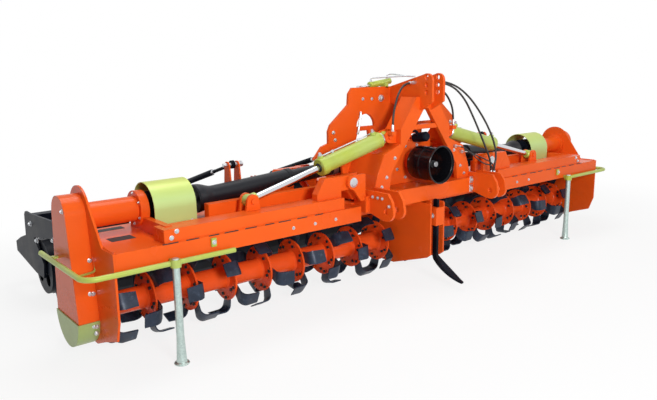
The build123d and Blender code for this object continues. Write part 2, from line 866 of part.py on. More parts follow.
def headstock_front():
    """A plate of two spreading legs, its crossbar and the two long top-link ears."""
    pieces = []
    outline = [(0.0, post_edge[0][1])] + list(post_edge) + list(post_inner_edge)
    half = slab_y(outline, post_dy, post_dy + post_t)
    pieces.append(half)
    pieces.append(mirrored(half))
    (low_x, low_z), (high_x, high_z) = post_inner_edge[1:3]
    reach = high_x + (low_x - high_x) * (high_z - crossbar_z) / (high_z - low_z) + crossbar_h
    pieces.append(
        box(
            -reach, reach, post_dy + 5, post_dy + post_t - 5,
            crossbar_z - crossbar_h / 2, crossbar_z + crossbar_h / 2,
        )
    )
    front = top_link_dy - top_link_depth / 2
    outline = [
        (front, top_link_low_z + 60),
        (front, top_link_high_z - top_link_depth / 2),
        (top_link_dy, top_link_high_z),
        (rear_plate_dy, rear_plate_top_z),
        (rear_plate_dy, top_link_low_z + 40),
        (post_dy, top_link_low_z),
    ]
    for side in (-1, 1):
        near = side * top_link_gap / 2
        far = side * (top_link_gap / 2 + top_link_t)
        x0, x1 = min(near, far), max(near, far)
        round_z = top_link_high_z - top_link_depth / 2
        pieces.append(slab_x(outline, x0, x1))
        pieces.append(rod_x(x0, x1, top_link_dy, round_z, top_link_depth / 2))
    holes = [
        rod_x(-top_link_gap, top_link_gap, top_link_dy, z, top_link_r) for z in top_hole_z
    ]
    return fused(pieces) - holes


# half outline of the rear headstock plate: x, z from the top centre down the right side
rear_plate_rows = (
    (0.0, rear_plate_top_z),
    (420.0, rear_plate_top_z),
    (452.0, 1318.0),
    (458.0, 1245.0),
    (612.0, 1122.0),
    (632.0, 1080.0),
    (632.0, 1002.0),
    (690.0, 985.0),
    (760.0, 905.0),
    (700.0, 882.0),
    (520.0, 862.0),
    (rail_inner_x, rail_top_z + 5),
    (rail_inner_x, gearbox_low_z),
    (240.0, gearbox_low_z),
    (240.0, 1010.0),
    (0.0, 1010.0),
)
rear_window_rows = ((262.0, 975.0), (400.0, 975.0), (370.0, 1065.0), (275.0, 1065.0))
rear_arch_x = 300.0
rear_arch_z = 1095.0
rear_arch_r = 84.0


def headstock_rear():
    low, high = rear_plate_dy, rear_plate_dy + rear_plate_t
    half = slab_y(rear_plate_rows, low, high)
    window = slab_y(rear_window_rows, low - 5, high + 5)
    arch = slab_y(arc_points((rear_arch_x, rear_arch_z), rear_arch_r, 0, 180, 9), low - 5, high + 5)
    half = half - [window, arch]
    return half + mirrored(half)


def headstock_cheek():
    """A folded plate from the front plate's outer edge back to the rear plate."""
    inner_edge = [(x - cheek_t, max(z - cheek_t, gearbox_low_z)) for x, z in post_edge]
    band = slab_y(list(post_edge) + inner_edge[::-1], post_dy + post_t, rear_plate_dy)
    outline = [
        (post_dy + post_t, gearbox_low_z),
        (rear_plate_dy, gearbox_low_z),
        (rear_plate_dy, 900),
        (cheek_top_dy, 1085),
        (cheek_top_dy, post_edge[0][1]),
        (post_dy + post_t, post_edge[0][1]),
    ]
    return band & slab_x(outline, 0, frame_half)


def cylinder_bracket():
    """Ears on the headstock that hold a fold cylinder's base eye, with their pin."""
    reach = eye_t / 2 + lug_gap
    base_x = post_edge[1][0]
    pieces = []
    for side in (-1, 1):
        near = cylinder_dy + side * reach
        far = cylinder_dy + side * (reach + lug_ear_t)
        low, high = min(near, far), max(near, far)
        outline = [
            (base_x, post_edge[1][1]),
            (tower_pin_x, tower_pin_z + eye_r + 4),
            (tower_pin_x, tower_pin_z - eye_r - 4),
            (base_x, post_edge[2][1]),
        ]
        pieces.append(slab_y(outline, low, high))
        pieces.append(rod_y(tower_pin_x, low, high, tower_pin_z, eye_r + 4))
    front = cylinder_dy - reach - lug_ear_t
    top = tower_pin_z + eye_r + 4
    pieces.append(
        box(tower_pin_x - 15, tower_pin_x + 25, hose_clip_dy - 14, front + lug_ear_t, top - 25, top)
    )
    pin_reach = reach + lug_ear_t + pin_head
    pieces.append(
        rod_y(tower_pin_x, cylinder_dy - pin_reach, cylinder_dy + pin_reach, tower_pin_z, cylinder_pin_r)
    )
    return fused(pieces)


def hitch_ears():
    ears = []
    for side in (-1, 1):
        for x in (hitch_inner_x, hitch_outer_x):
            x0, x1 = side * x - hitch_t / 2, side * x + hitch_t / 2
            outline = [
                (front_dy, frame_low_z),
                (hitch_dy + 30, hitch_z - hitch_lobe_r),
                (hitch_dy - hitch_lobe_r, hitch_z),
                (hitch_dy - hitch_lobe_r + 12, hitch_top_z - hitch_nose),
                (hitch_dy - hitch_lobe_r + hitch_nose, hitch_top_z),
                (post_dy, hitch_top_z),
                (post_dy, frame_top_z),
                (front_dy, frame_top_z),
            ]
            ear = slab_x(outline, x0, x1) + rod_x(x0, x1, hitch_dy, hitch_z, hitch_lobe_r)
            ears.append(ear - rod_x(x0 - 5, x1 + 5, hitch_dy, hitch_z, hitch_pin_r))
    return ears


def gearbox():
    body = box(-gearbox_half, gearbox_half, gearbox_front_dy, gearbox_rear_dy, gearbox_low_z, gearbox_top_z)
    boss_x = gearbox_half + boss_length
    pieces = [
        body,
        rod_x(-boss_x, boss_x, 0, gearbox_z, boss_r),
        rod_y(0, gearbox_front_dy - nose_length, gearbox_front_dy, gearbox_z, nose_r),
    ]
    pin_reach = yoke_eye_half + yoke_gap + yoke_ear_t
    joint = fork(shaft_inner_x, gearbox_z, boss_x)
    joint.append(rod_y(shaft_inner_x, -pin_reach, pin_reach, gearbox_z, yoke_pin_r))
    pieces = pieces + joint + [mirrored(piece) for piece in joint]
    bore = rod_y(
        0, gearbox_front_dy - nose_length - 10, gearbox_front_dy + pto_bore_depth, gearbox_z,
        pto_collar_r + pin_clearance,
    )
    return fused(pieces) - bore


def pto_shaft():
    collar_dy = gearbox_front_dy - nose_length - 5
    stub = rod_y(0, pto_shaft_tip_dy, collar_dy, gearbox_z, pto_shaft_r)
    return stub + rod_y(0, collar_dy, gearbox_front_dy + pto_bore_depth - 5, gearbox_z, pto_collar_r)


def pto_guard():
    """A cup around the drive stub, with its back plate on the gearbox's nose."""
    def cup(offset, back):
        barrel = rod_y(0, guard_bell_dy, back, gearbox_z, guard_back_r - offset)
        length = guard_bell_dy - guard_rim_dy
        bell = Pos(0, at((guard_bell_dy + guard_rim_dy) / 2), gearbox_z) * (
            Rot(90, 0, 0) * Cone(guard_back_r - offset, guard_rim_r - offset, length)
        )
        return barrel + bell
    opening = rod_y(0, guard_rim_dy - 20, guard_rim_dy + 1, gearbox_z, guard_rim_r - guard_t)
    nose = rod_y(0, guard_back_dy - 40, guard_back_dy + 40, gearbox_z, nose_r)
    return cup(0, guard_back_dy + guard_t) - cup(guard_t, guard_back_dy) - opening - nose


def centre_tine():
    shank = box(-tine_t / 2, tine_t / 2, tine_dy - tine_w, tine_dy, tine_bend_z, tine_top_z)
    curve = [
        (tine_dy, tine_bend_z),
        (tine_dy - 30, tine_bend_z - 60),
        (tine_dy - 110, floor_z + 100),
        (-front_reach + 20, floor_z + 50),
        (-front_reach, floor_z + 62),
        (tine_dy - 130, floor_z + 140),
        (tine_dy - tine_w - 22, tine_bend_z - 40),
        (tine_dy - tine_w, tine_bend_z),
    ]
    return shank + slab_x(curve, -tine_t / 2, tine_t / 2)


def lock_cylinder():
    """Small cylinder on the headstock's top, its rod end lowered to the left."""
    body = along(0, lock_body, lock_r)
    rod = along(lock_body, lock_body + lock_rod, lock_rod_r)
    dy = rear_plate_dy + rear_plate_t + lock_r + 6
    turned = Pos(-lock_x, at(dy), lock_z) * (Rot(0, 180 - lock_tilt_deg, 0) * (body + rod))
    foot_x = lock_x + lock_body / 4
    low = rear_plate_top_z
    foot = box(-foot_x - 15, -foot_x + 15, rear_plate_dy, dy + lock_r / 2, low, lock_z - 8)
    return turned + foot


def hose_fittings():
    """Bosses that the hoses start from, and the holder beside the right lower hitch."""
    pieces = []
    for x, dy, z in ear_bosses:
        side = 1 if x > 0 else -1
        pieces.append(rod_x(side * ear_face_x, x, dy, z, hose_boss_r))
    for x, dy, z in leg_bosses:
        pieces.append(rod_y(x, post_dy, dy, z, hose_boss_r))
    face = hitch_outer_x + hitch_t / 2
    pieces.append(
        box(
            face, hose_holder_end_x, hose_holder_dy - hose_holder_half,
            hose_holder_dy + hose_holder_half, hose_holder_top_z - 33, hose_holder_top_z,
        )
    )
    return pieces


def hose(points, radius):
    """A round hose on straight runs and tangent arcs, each as large as its two runs allow."""
    route = [Vector(x, at(dy), z) for x, dy, z in points]
    radii = []
    for before, here, after in zip(route, route[1:], route[2:]):
        turn = (here - before).get_angle(after - here)
        run = min((here - before).length, (after - here).length)
        radii.append(0.45 * run / math.tan(math.radians(turn / 2)))
    print("hose radii", [round(value) for value in radii])
    corners = [route[0]]
    line = []
    for here, before, after, r in zip(route[1:], route, route[2:], radii):
        a, b = (before - here).normalized(), (after - here).normalized()
        half = math.radians(a.get_angle(b)) / 2
        reach = r / math.tan(half)
        start, end = here + a * reach, here + b * reach
        middle = here + (a + b).normalized() * (r / math.sin(half) - r)
        line.append(Line(corners[-1], start))
        line.append(ThreePointArc(start, middle, end))
        corners.append(end)
    line.append(Line(corners[-1], route[-1]))
    path = Wire(line)
    start = Plane(origin=route[0], z_dir=route[1] - route[0])
    tube = sweep(start * Circle(radius), path=path)
    share = tube.volume / (math.pi * radius ** 2 * path.length)
    print("hose length", round(path.length), "volume share", round(share, 4))
    return tube


# routes, from boss to holder or bracket: x, dy, z
clip_top_z = tower_pin_z + eye_r + 4
left_lift_route = (
    (-ear_face_x - hose_boss, -330.0, 1385.0),
    (-160.0, -330.0, 1385.0),
    (-232.0, -340.0, 1330.0),
    (-280.0, -352.0, 1245.0),
    (-305.0, hose_clip_dy, 1160.0),
    (-305.0, hose_clip_dy, clip_top_z),
)
right_lift_route = (
    (ear_face_x + hose_boss, -352.0, 1345.0),
    (150.0, -352.0, 1345.0),
    (225.0, -356.0, 1298.0),
    (280.0, -358.0, 1225.0),
    (305.0, hose_clip_dy, 1150.0),
    (305.0, hose_clip_dy, clip_top_z),
)
inner_feed_route = (
    (ear_face_x + hose_boss, -325.0, 1385.0),
    (170.0, -325.0, 1385.0),
    (272.0, -380.0, 1350.0),
    (362.0, -408.0, 1262.0),
    (432.0, -422.0, 1150.0),
    (494.0, -440.0, 1030.0),
    (550.0, -459.0, 908.0),
    (604.0, feed_hose_dy, 790.0),
    (604.0, feed_hose_dy, hose_holder_top_z),
)
outer_feed_route = (
    (ear_face_x + hose_boss, -285.0, 1395.0),
    (180.0, -285.0, 1395.0),
    (300.0, -360.0, 1366.0),
    (415.0, -398.0, 1282.0),
    (515.0, -420.0, 1172.0),
    (598.0, -440.0, 1055.0),
    (656.0, -460.0, 930.0),
    (668.0, -474.0, 830.0),
    (640.0, feed_hose_dy, 755.0),
    (640.0, feed_hose_dy, hose_holder_top_z),
)
inner_thin_route = (
    (300.0, post_dy - hose_boss, 930.0),
    (300.0, -460.0, 930.0),
    (352.0, -480.0, 888.0),
    (420.0, -490.0, 832.0),
    (500.0, -496.0, 790.0),
    (565.0, thin_hose_dy, 778.0),
    (600.0, thin_hose_dy, 748.0),
    (600.0, thin_hose_dy, hose_holder_top_z),
)
outer_thin_route = (
    (372.0, post_dy - hose_boss, 884.0),
    (372.0, -460.0, 884.0),
    (425.0, -482.0, 858.0),
    (485.0, -491.0, 834.0),
    (545.0, -497.0, 808.0),
    (596.0, thin_hose_dy, 780.0),
    (616.0, thin_hose_dy, 745.0),
    (616.0, thin_hose_dy, hose_holder_top_z),
)
hose_routes = {
    "hose_lift_left": (left_lift_route, hose_r),
    "hose_lift_right": (right_lift_route, hose_r),
    "hose_feed_inner": (inner_feed_route, hose_r),
    "hose_feed_outer": (outer_feed_route, hose_r),
    "hose_thin_inner": (inner_thin_route, thin_hose_r),
    "hose_thin_outer": (outer_thin_route, thin_hose_r),
}
ear_bosses = [route[0] for route in (left_lift_route, right_lift_route, inner_feed_route, outer_feed_route)]
leg_bosses = [route[0] for route in (inner_thin_route, outer_thin_route)]


# ---------------------------------------------------------------- all nodes
wing_nodes = {
    "deck": wing_deck(),
    "beams": Compound(children=wing_beams()),
    "side_plates": Compound(children=[side_plate(), inner_plate()]),
    "drive_case": drive_case(),
    "case_shoe": case_shoe(),
    "input_tube": input_tube(),
    "slip_clutch": slip_clutch(),
    "clutch_cover": clutch_cover(),
    "rotor": rotor(),
    "packer_roller": packer_roller(),
    "roller_frame": roller_frame(),
    "levelling_board": levelling_board(),
    "cylinder_barrel": cylinder_barrel(),
    "cylinder_rod": cylinder_rod(),
    "shaft_inner": shaft_inner(),
    "shaft_outer": shaft_outer(),
}
cheek = headstock_cheek()
bracket = cylinder_bracket()
centre_nodes = {
    "centre_frame": centre_frame(),
    "hinge_pins": Compound(children=hinge_pins()),
    "headstock_front": headstock_front(),
    "headstock_rear": headstock_rear(),
    "headstock_cheeks": Compound(children=[cheek, mirrored(cheek)]),
    "cylinder_brackets": Compound(children=[bracket, mirrored(bracket)]),
    "hitch_ears": Compound(children=hitch_ears()),
    "gearbox": gearbox(),
    "pto_shaft": pto_shaft(),
    "pto_guard": pto_guard(),
    "centre_tine": centre_tine(),
    "lock_cylinder": lock_cylinder(),
    "hose_fittings": Compound(children=hose_fittings()),
}
for name, (route, radius) in hose_routes.items():
    centre_nodes[name] = hose(route, radius)

os.makedirs("parts", exist_ok=True)
for name, shape in centre_nodes.items():
    export_step(shape, f"parts/{name}.step")
for name, shape in wing_nodes.items():
    export_step(shape, f"parts/{name}_right.step")
    export_step(mirrored(shape), f"parts/{name}_left.step")
for side, leg_inset, bar_inset in leg_rows:
    leg_x = half_width - leg_inset
    leg = parking_leg(leg_x)
    bar = guard_bar(leg_x, half_width - bar_inset)
    if side == "left":
        leg, bar = mirrored(leg), mirrored(bar)
    export_step(leg, f"parts/parking_leg_{side}.step")
    export_step(bar, f"parts/guard_bar_{side}.step")
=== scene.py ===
import json
import math
import bmesh
import bpy
from mathutils import Matrix, Vector


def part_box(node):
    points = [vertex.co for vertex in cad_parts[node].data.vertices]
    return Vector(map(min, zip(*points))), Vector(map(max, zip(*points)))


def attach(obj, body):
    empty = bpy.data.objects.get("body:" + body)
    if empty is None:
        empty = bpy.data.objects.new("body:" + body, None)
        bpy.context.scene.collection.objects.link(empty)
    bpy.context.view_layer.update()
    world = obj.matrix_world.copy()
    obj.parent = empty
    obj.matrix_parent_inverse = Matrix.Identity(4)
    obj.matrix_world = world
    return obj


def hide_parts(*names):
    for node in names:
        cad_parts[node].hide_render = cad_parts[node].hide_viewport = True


# Looks of a folding rotavator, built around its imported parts. Metres, floor at z = 0.
# Wing pieces are built on the right and mirrored to the left.

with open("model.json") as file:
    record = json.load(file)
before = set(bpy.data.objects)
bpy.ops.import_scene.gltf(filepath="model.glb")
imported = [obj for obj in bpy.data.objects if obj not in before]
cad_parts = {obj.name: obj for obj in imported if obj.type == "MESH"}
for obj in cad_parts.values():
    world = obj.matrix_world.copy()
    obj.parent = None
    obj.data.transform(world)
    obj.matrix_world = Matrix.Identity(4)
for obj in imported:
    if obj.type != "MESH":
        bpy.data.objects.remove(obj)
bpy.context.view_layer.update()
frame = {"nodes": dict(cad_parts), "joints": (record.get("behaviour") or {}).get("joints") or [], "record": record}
cadNodes = frame["nodes"]
jointPlace = {joint["name"]: Vector(joint.get("pos_m") or (0, 0, 0)) for joint in frame["joints"]}
sides = {"left": -1, "right": 1}
xWay, yWay, zWay = Vector((1, 0, 0)), Vector((0, 1, 0)), Vector((0, 0, 1))
print("frame loaded:", len(cadNodes), "nodes")


def addObject(name, data):
    made = bpy.data.objects.new(name, data)
    bpy.context.scene.collection.objects.link(made)
    return made


# points of the rings round an axis; profile rows are (distance along the axis, radius)
def ringPoints(profile, origin, along, segments):
    axis = Vector(along).normalized()
    across = axis.orthogonal().normalized()
    up = axis.cross(across)
    points = []
    for distance, radius in profile:
        for k in range(segments):
            angle = 2 * math.pi * k / segments
            spoke = across * math.cos(angle) + up * math.sin(angle)
            points.append(Vector(origin) + axis * distance + spoke * radius)
    return points


# quads between rings of points, with capped ends unless the last ring joins the first
def ringFaces(rings, segments, joined=False):
    faces = []
    for row in range(rings if joined else rings - 1):
        near, far = row * segments, (row + 1) % rings * segments
        for k in range(segments):
            after = (k + 1) % segments
            faces.append((near + k, near + after, far + after, far + k))
    if not joined:
        faces.append(tuple(range(segments - 1, -1, -1)))
        faces.append(tuple((rings - 1) * segments + k for k in range(segments)))
    return faces


# forms gathered into one mesh
class Shape:
    def __init__(self, side=1):
        self.side = side
        self.points = []
        self.faces = []

    def add(self, points, faces):
        start = len(self.points)
        self.points += [Vector(point) for point in points]
        self.faces += [tuple(start + index for index in face) for face in faces]

    def turned(self, profile, origin, along, segments=32):
        points = ringPoints(profile, origin, along, segments)
        self.add(points, ringFaces(len(profile), segments))

    # as turned, but the profile goes all round the section of a hollow ring
    def ring(self, profile, origin, along, segments=40):
        points = ringPoints(profile, origin, along, segments)
        self.add(points, ringFaces(len(profile), segments, joined=True))

    # a round bar with softened ends
    def bar(self, start, end, radius, segments=24, soft=0.0015):
        start, end = Vector(start), Vector(end)
        length = (end - start).length
        soft = min(soft, radius * 0.4, length * 0.4)
        thin = radius - soft
        rows = [(0, thin), (soft, radius), (length - soft, radius), (length, thin)]
        self.turned(rows, start, end - start, segments)

    # a bar that reaches equally far to both sides of a point
    def pin(self, centre, half, radius, segments):
        self.bar(centre - half, centre + half, radius, segments)

    # a flat plate with softened edges; outline and holes are loops of (u, v) from the origin
    def plate(self, outline, origin, u, v, thick, holes=(), soft=0.0012):
        origin, u, v = Vector(origin), Vector(u).normalized(), Vector(v).normalized()
        flat = bmesh.new()
        edges = []
        for loop in [outline] + list(holes):
            rim = [flat.verts.new(origin + u * a + v * b) for a, b in loop]
            edges += [flat.edges.new((rim[k - 1], rim[k])) for k in range(len(rim))]
        bmesh.ops.triangle_fill(flat, use_beauty=True, use_dissolve=False, edges=edges)
        made = bmesh.ops.extrude_face_region(flat, geom=flat.faces[:])
        moved = [item for item in made["geom"] if isinstance(item, bmesh.types.BMVert)]
        bmesh.ops.translate(flat, vec=u.cross(v) * thick, verts=moved)
        bmesh.ops.recalc_face_normals(flat, faces=flat.faces[:])
        bmesh.ops.dissolve_limit(flat, angle_limit=0.01, verts=flat.verts[:], edges=flat.edges[:])
        if soft:
            rims = [edge for edge in flat.edges
                    if edge.is_manifold and edge.calc_face_angle() > 1.2]
            bmesh.ops.bevel(flat, geom=rims, offset=soft, segments=1, affect="EDGES",
                            clamp_overlap=True)
        flat.verts.index_update()
        points = [vert.co.copy() for vert in flat.verts]
        self.add(points, [tuple(vert.index for vert in face.verts) for face in flat.faces])
        flat.free()

    def block(self, low, high, soft=0.002):
        low, high = Vector(low), Vector(high)
        size = high - low
        outline = [(0, 0), (size.x, 0), (size.x, size.y), (0, size.y)]
        self.plate(outline, low, xWay, yWay, size.z, soft=soft)

    # a round tube along smooth points; a ripple swells every second ring
    def tube(self, path, radius, segments=10, ripple=0.0):
        path = [Vector(point) for point in path]
        across = (path[1] - path[0]).normalized().orthogonal().normalized()
        points = []
        for row, point in enumerate(path):
            ahead = path[min(row + 1, len(path) - 1)] - path[max(row - 1, 0)]
            ahead.normalize()
            across = (across - ahead * across.dot(ahead)).normalized()
            up = ahead.cross(across)
            size = radius + (ripple if row % 2 else 0)
            for k in range(segments):
                angle = 2 * math.pi * k / segments
                points.append(point + (across * math.cos(angle) + up * math.sin(angle)) * size)
        self.add(points, ringFaces(len(path), segments))

    # a rippled weld bead between two points
    def weld(self, start, end, radius=0.0045, step=0.009):
        start, end = Vector(start), Vector(end)
        count = max(4, int((end - start).length / step))
        path = [start.lerp(end, k / count) for k in range(count + 1)]
        self.tube(path, radius, 6, ripple=radius * 0.28)

    # washer, hexagon head and thread end, standing along an axis
    def bolt(self, place, along, size):
        washer = [(-0.004, size * 1.3), (size * 0.16, size * 1.3), (size * 0.2, size * 1.2)]
        head = [(size * 0.2, size), (size * 0.8, size), (size * 0.95, size * 0.82)]
        thread = [(size * 0.9, size * 0.5), (size * 1.25, size * 0.46)]
        for rows, segments in ((washer, 20), (head, 6), (thread, 12)):
            self.turned(rows, place, along, segments)

    # bolts round an ellipse that faces along x or y; its radii are (level, upright)
    def boltCircle(self, centre, along, radii, count, firstDegrees, size):
        for k in range(count):
            angle = math.radians(firstDegrees + 360 / count * k)
            level, rise = radii[0] * math.cos(angle), radii[1] * math.sin(angle)
            spoke = Vector((level, 0, rise) if along.y else (0, level, rise))
            self.bolt(Vector(centre) + spoke, along, size)

    # makes the piece; it has its slot's material unless it brings its own
    def finish(self, name, body, slot, material=None, sharp=32, replaced=()):
        mesh = bpy.data.meshes.new(name)
        points = [(p.x * self.side, p.y, p.z) for p in self.points]
        faces = [face[::-1] if self.side < 0 else face for face in self.faces]
        mesh.from_pydata(points, [], faces)
        mesh.materials.append(material or slotMaterial[slot])
        tidy = bmesh.new()
        tidy.from_mesh(mesh)
        bmesh.ops.remove_doubles(tidy, verts=tidy.verts[:], dist=1e-6)
        bmesh.ops.recalc_face_normals(tidy, faces=tidy.faces[:])
        tidy.to_mesh(mesh)
        tidy.free()
        mesh.shade_smooth()
        mesh.set_sharp_from_angle(angle=math.radians(sharp))
        piece = addObject(name, mesh)
        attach(piece, body)
        if replaced:
            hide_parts(*replaced)


def circle(centre, radius, count=16):
    angles = [2 * math.pi * k / count for k in range(count)]
    return [(centre[0] + radius * math.cos(angle), centre[1] + radius * math.sin(angle))
            for angle in angles]


# points on a smooth curve through a few given ones
def smoothPath(points, steps=6):
    points = [Vector(point) for point in points]
    ends = [points[0] * 2 - points[1]] + points + [points[-1] * 2 - points[-2]]
    path = []
    for k in range(1, len(ends) - 2):
        before, here, after, later = ends[k - 1:k + 3]
        for step in range(steps):
            t = step / steps
            path.append(0.5 * (2 * here + (after - before) * t
                               + (2 * before - 5 * here + 4 * after - later) * t * t
                               + (3 * here - before - 3 * after + later) * t ** 3))
    return path + [points[-1]]


# a socket that takes part in plain arithmetic
class Wire:
    def __init__(self, tree, socket):
        self.tree = tree
        self.socket = socket

    def maths(self, operation, other, flipped=False):
        node = self.tree.nodes.new("ShaderNodeMath")
        node.operation = operation
        pair = (other, self) if flipped else (self, other)
        for socket, value in zip(node.inputs, pair):
            if isinstance(value, Wire):
                self.tree.links.new(value.socket, socket)
            else:
                socket.default_value = value
        return Wire(self.tree, node.outputs[0])

    def __add__(self, other):
        return self.maths("ADD", other)

    def __rsub__(self, other):
        return self.maths("SUBTRACT", other, True)

    def __mul__(self, other):
        return self.maths("MULTIPLY", other)

    __radd__ = __add__
    __rmul__ = __mul__


# a node tree, and the one way to add a node to it
class Nodes:
    def __init__(self, tree):
        self.tree = tree

    def plug(self, socket, value):
        if isinstance(value, Wire):
            self.tree.links.new(value.socket, socket)
        else:
            socket.default_value = value

    def node(self, kind, settings=None, sockets=None, out=0):
        made = self.tree.nodes.new(kind)
        for key, value in (settings or {}).items():
            if key == "stops":
                for element, (place, colour) in zip(made.color_ramp.elements, value):
                    element.position, element.color = place, colour
            else:
                setattr(made, key, value)
        for key, value in (sockets or {}).items():
            self.plug(made.inputs[key], value)
        return Wire(self.tree, made.outputs[out])

    # 1 for rays that see the white stage: straight, mirrored or passed through
    def stageRays(self):
        kinds = ("Is Camera Ray", "Is Glossy Ray", "Is Transmission Ray")
        rays = [self.node("ShaderNodeLightPath", out=kind) for kind in kinds]
        return rays[0] + rays[1] + rays[2]


# one material and its shader
class Finish(Nodes):
    def __init__(self, name, **shader):
        self.material = bpy.data.materials.new(name)
        self.material.use_nodes = True
        super().__init__(self.material.node_tree)
        self.shader = self.tree.nodes["Principled BSDF"]
        for key, value in shader.items():
            self.set(key, value)
        self.place = self.node("ShaderNodeTexCoord", out="Object")

    # set("coatWeight", 0.5) fills the shader's Coat Weight
    def set(self, key, value):
        words = "".join(" " + c if c.isupper() else c for c in key).title()
        self.plug(self.shader.inputs[words.replace("Ior", "IOR")], value)

    def noise(self, scale, detail=3, rough=0.5):
        sockets = {"Vector": self.place, "Scale": scale, "Detail": detail, "Roughness": rough}
        return self.node("ShaderNodeTexNoise", {}, sockets)

    def ramp(self, factor, low, high):
        stops = [(low, (0, 0, 0, 1)), (high, (1, 1, 1, 1))]
        return self.node("ShaderNodeValToRGB", {"stops": stops}, {"Fac": factor})

    def mix(self, factor, first, second):
        sockets = {0: factor, 6: first, 7: second}
        return self.node("ShaderNodeMix", {"data_type": "RGBA"}, sockets, out=2)

    # 1 up to the lower height, 0 from the upper one
    def lowness(self, lower, upper):
        rise = self.node("ShaderNodeSeparateXYZ", {}, {"Vector": self.place}, "Z")
        sockets = {"Value": rise, "From Min": lower, "From Max": upper}
        return 1 - self.node("ShaderNodeMapRange", {"clamp": True}, sockets)

    def bump(self, height, distance, strength, edge=0.0):
        sockets = {"Height": height, "Distance": distance, "Strength": strength}
        if edge:
            sockets["Normal"] = self.node("ShaderNodeBevel", {"samples": 4}, {"Radius": edge})
        self.set("normal", self.node("ShaderNodeBump", {}, sockets))


enamelLooks = {
    "orange_enamel": {
        "colour": (0.86, 0.118, 0.012, 1),
        "deepColour": (0.70, 0.072, 0.010, 1),
        "roughness": 0.19,
        "edge": 0.003,
    },
    # the rotors get a second copy of the orange paint, redder and set for the light under the deck: this colour is
    # painted light and shade on the frame's own paint
    "rotor_enamel_painted_light": {
        "colour": (0.92, 0.105, 0.016, 1),
        "deepColour": (0.74, 0.066, 0.012, 1),
        "roughness": 0.17,
        "edge": 0.002,
    },
}


def enamelPaint(name):
    look = enamelLooks[name]
    paint = Finish(name, coatWeight=0.02, coatRoughness=0.05, specularIorLevel=0.12)
    clouds = paint.noise(2.3, 4, 0.55)
    fine = paint.noise(38, 3, 0.6)
    shade = paint.ramp(clouds, 0.35, 0.7) * 0.35 + paint.ramp(fine, 0.62, 0.75) * 0.06
    colour = paint.mix(shade, look["colour"], look["deepColour"])
    dust = paint.lowness(0, 0.45) * paint.ramp(paint.noise(9, 4, 0.6), 0.42, 0.75) * 0.10
    paint.set("baseColor", paint.mix(dust, colour, (0.20, 0.10, 0.06, 1)))
    paint.set("roughness", clouds * 0.14 + look["roughness"] + dust * 0.8)
    paint.bump(paint.noise(420, 1, 0.4), 0.00025, 0.5, look["edge"])
    return paint.material


zincLooks = {
    "yellow_zinc": {
        "colour": (0.43, 0.51, 0.065, 1),
        "paleColour": (0.43, 0.53, 0.115, 1),
        "oliveColour": (0.31, 0.34, 0.045, 1),
    },
    "cover_zinc": {
        "colour": (0.58, 0.64, 0.090, 1),
        "paleColour": (0.57, 0.66, 0.13, 1),
        "oliveColour": (0.45, 0.48, 0.075, 1),
        "greyColour": (0.50, 0.72, 0.28, 1),
        "greyHeights": (0.80, 0.90),        # grey below the first, none above the second
    },
    # the case shoe's copy of the zinc is darker: painted shade on the low end of the drive case
    "shoe_zinc_painted_shade": {
        "colour": (0.33, 0.42, 0.13, 1),
        "paleColour": (0.34, 0.46, 0.17, 1),
        "oliveColour": (0.26, 0.30, 0.08, 1),
    },
}


def yellowZinc(name):
    look = zincLooks[name]
    zinc = Finish(name, metallic=0.10, coatWeight=0.06, coatRoughness=0.3)
    wide = zinc.noise(3.1)
    fine = zinc.noise(60, 2)
    colour = zinc.mix(zinc.ramp(wide, 0.42, 0.62), look["colour"], look["paleColour"])
    olive = zinc.ramp(zinc.noise(6.5, 4, 0.6), 0.56, 0.8) * 0.6
    colour = zinc.mix(olive, colour, look["oliveColour"])
    if "greyColour" in look:
        colour = zinc.mix(zinc.lowness(*look["greyHeights"]) * 0.85, colour, look["greyColour"])
    zinc.set("baseColor", colour)
    zinc.set("roughness", fine * 0.12 + 0.32)
    zinc.bump(fine, 0.0004, 0.35, 0.002)
    return zinc.material


def satinBlack(name):
    black = Finish(name, coatWeight=0.01, coatRoughness=0.25, specularIorLevel=0.06)
    clouds = black.noise(5, 4, 0.6)
    dust = black.lowness(0, 0.5) * black.ramp(black.noise(11, 4, 0.6), 0.45, 0.8) * 0.06
    sheen = black.ramp(clouds, 0.4, 0.75)
    colour = black.mix(sheen, (0.004, 0.005, 0.009, 1), (0.013, 0.019, 0.033, 1))
    black.set("baseColor", black.mix(dust, colour, (0.12, 0.09, 0.07, 1)))
    black.set("roughness", clouds * 0.25 + 0.26 + dust)
    black.bump(black.noise(160, 2), 0.0003, 0.5, 0.003)
    return black.material


def galvanisedSteel(name):
    zinc = Finish(name, metallic=0.75)
    sockets = {"Vector": zinc.place, "Scale": 120}
    cells = zinc.node("ShaderNodeTexVoronoi", {}, sockets, "Color")
    grey = zinc.node("ShaderNodeRGBToBW", {}, {"Color": cells})
    zinc.set("baseColor", zinc.mix(grey, (0.42, 0.53, 0.50, 1), (0.56, 0.67, 0.63, 1)))
    zinc.set("roughness", grey * 0.15 + 0.30)
    return zinc.material


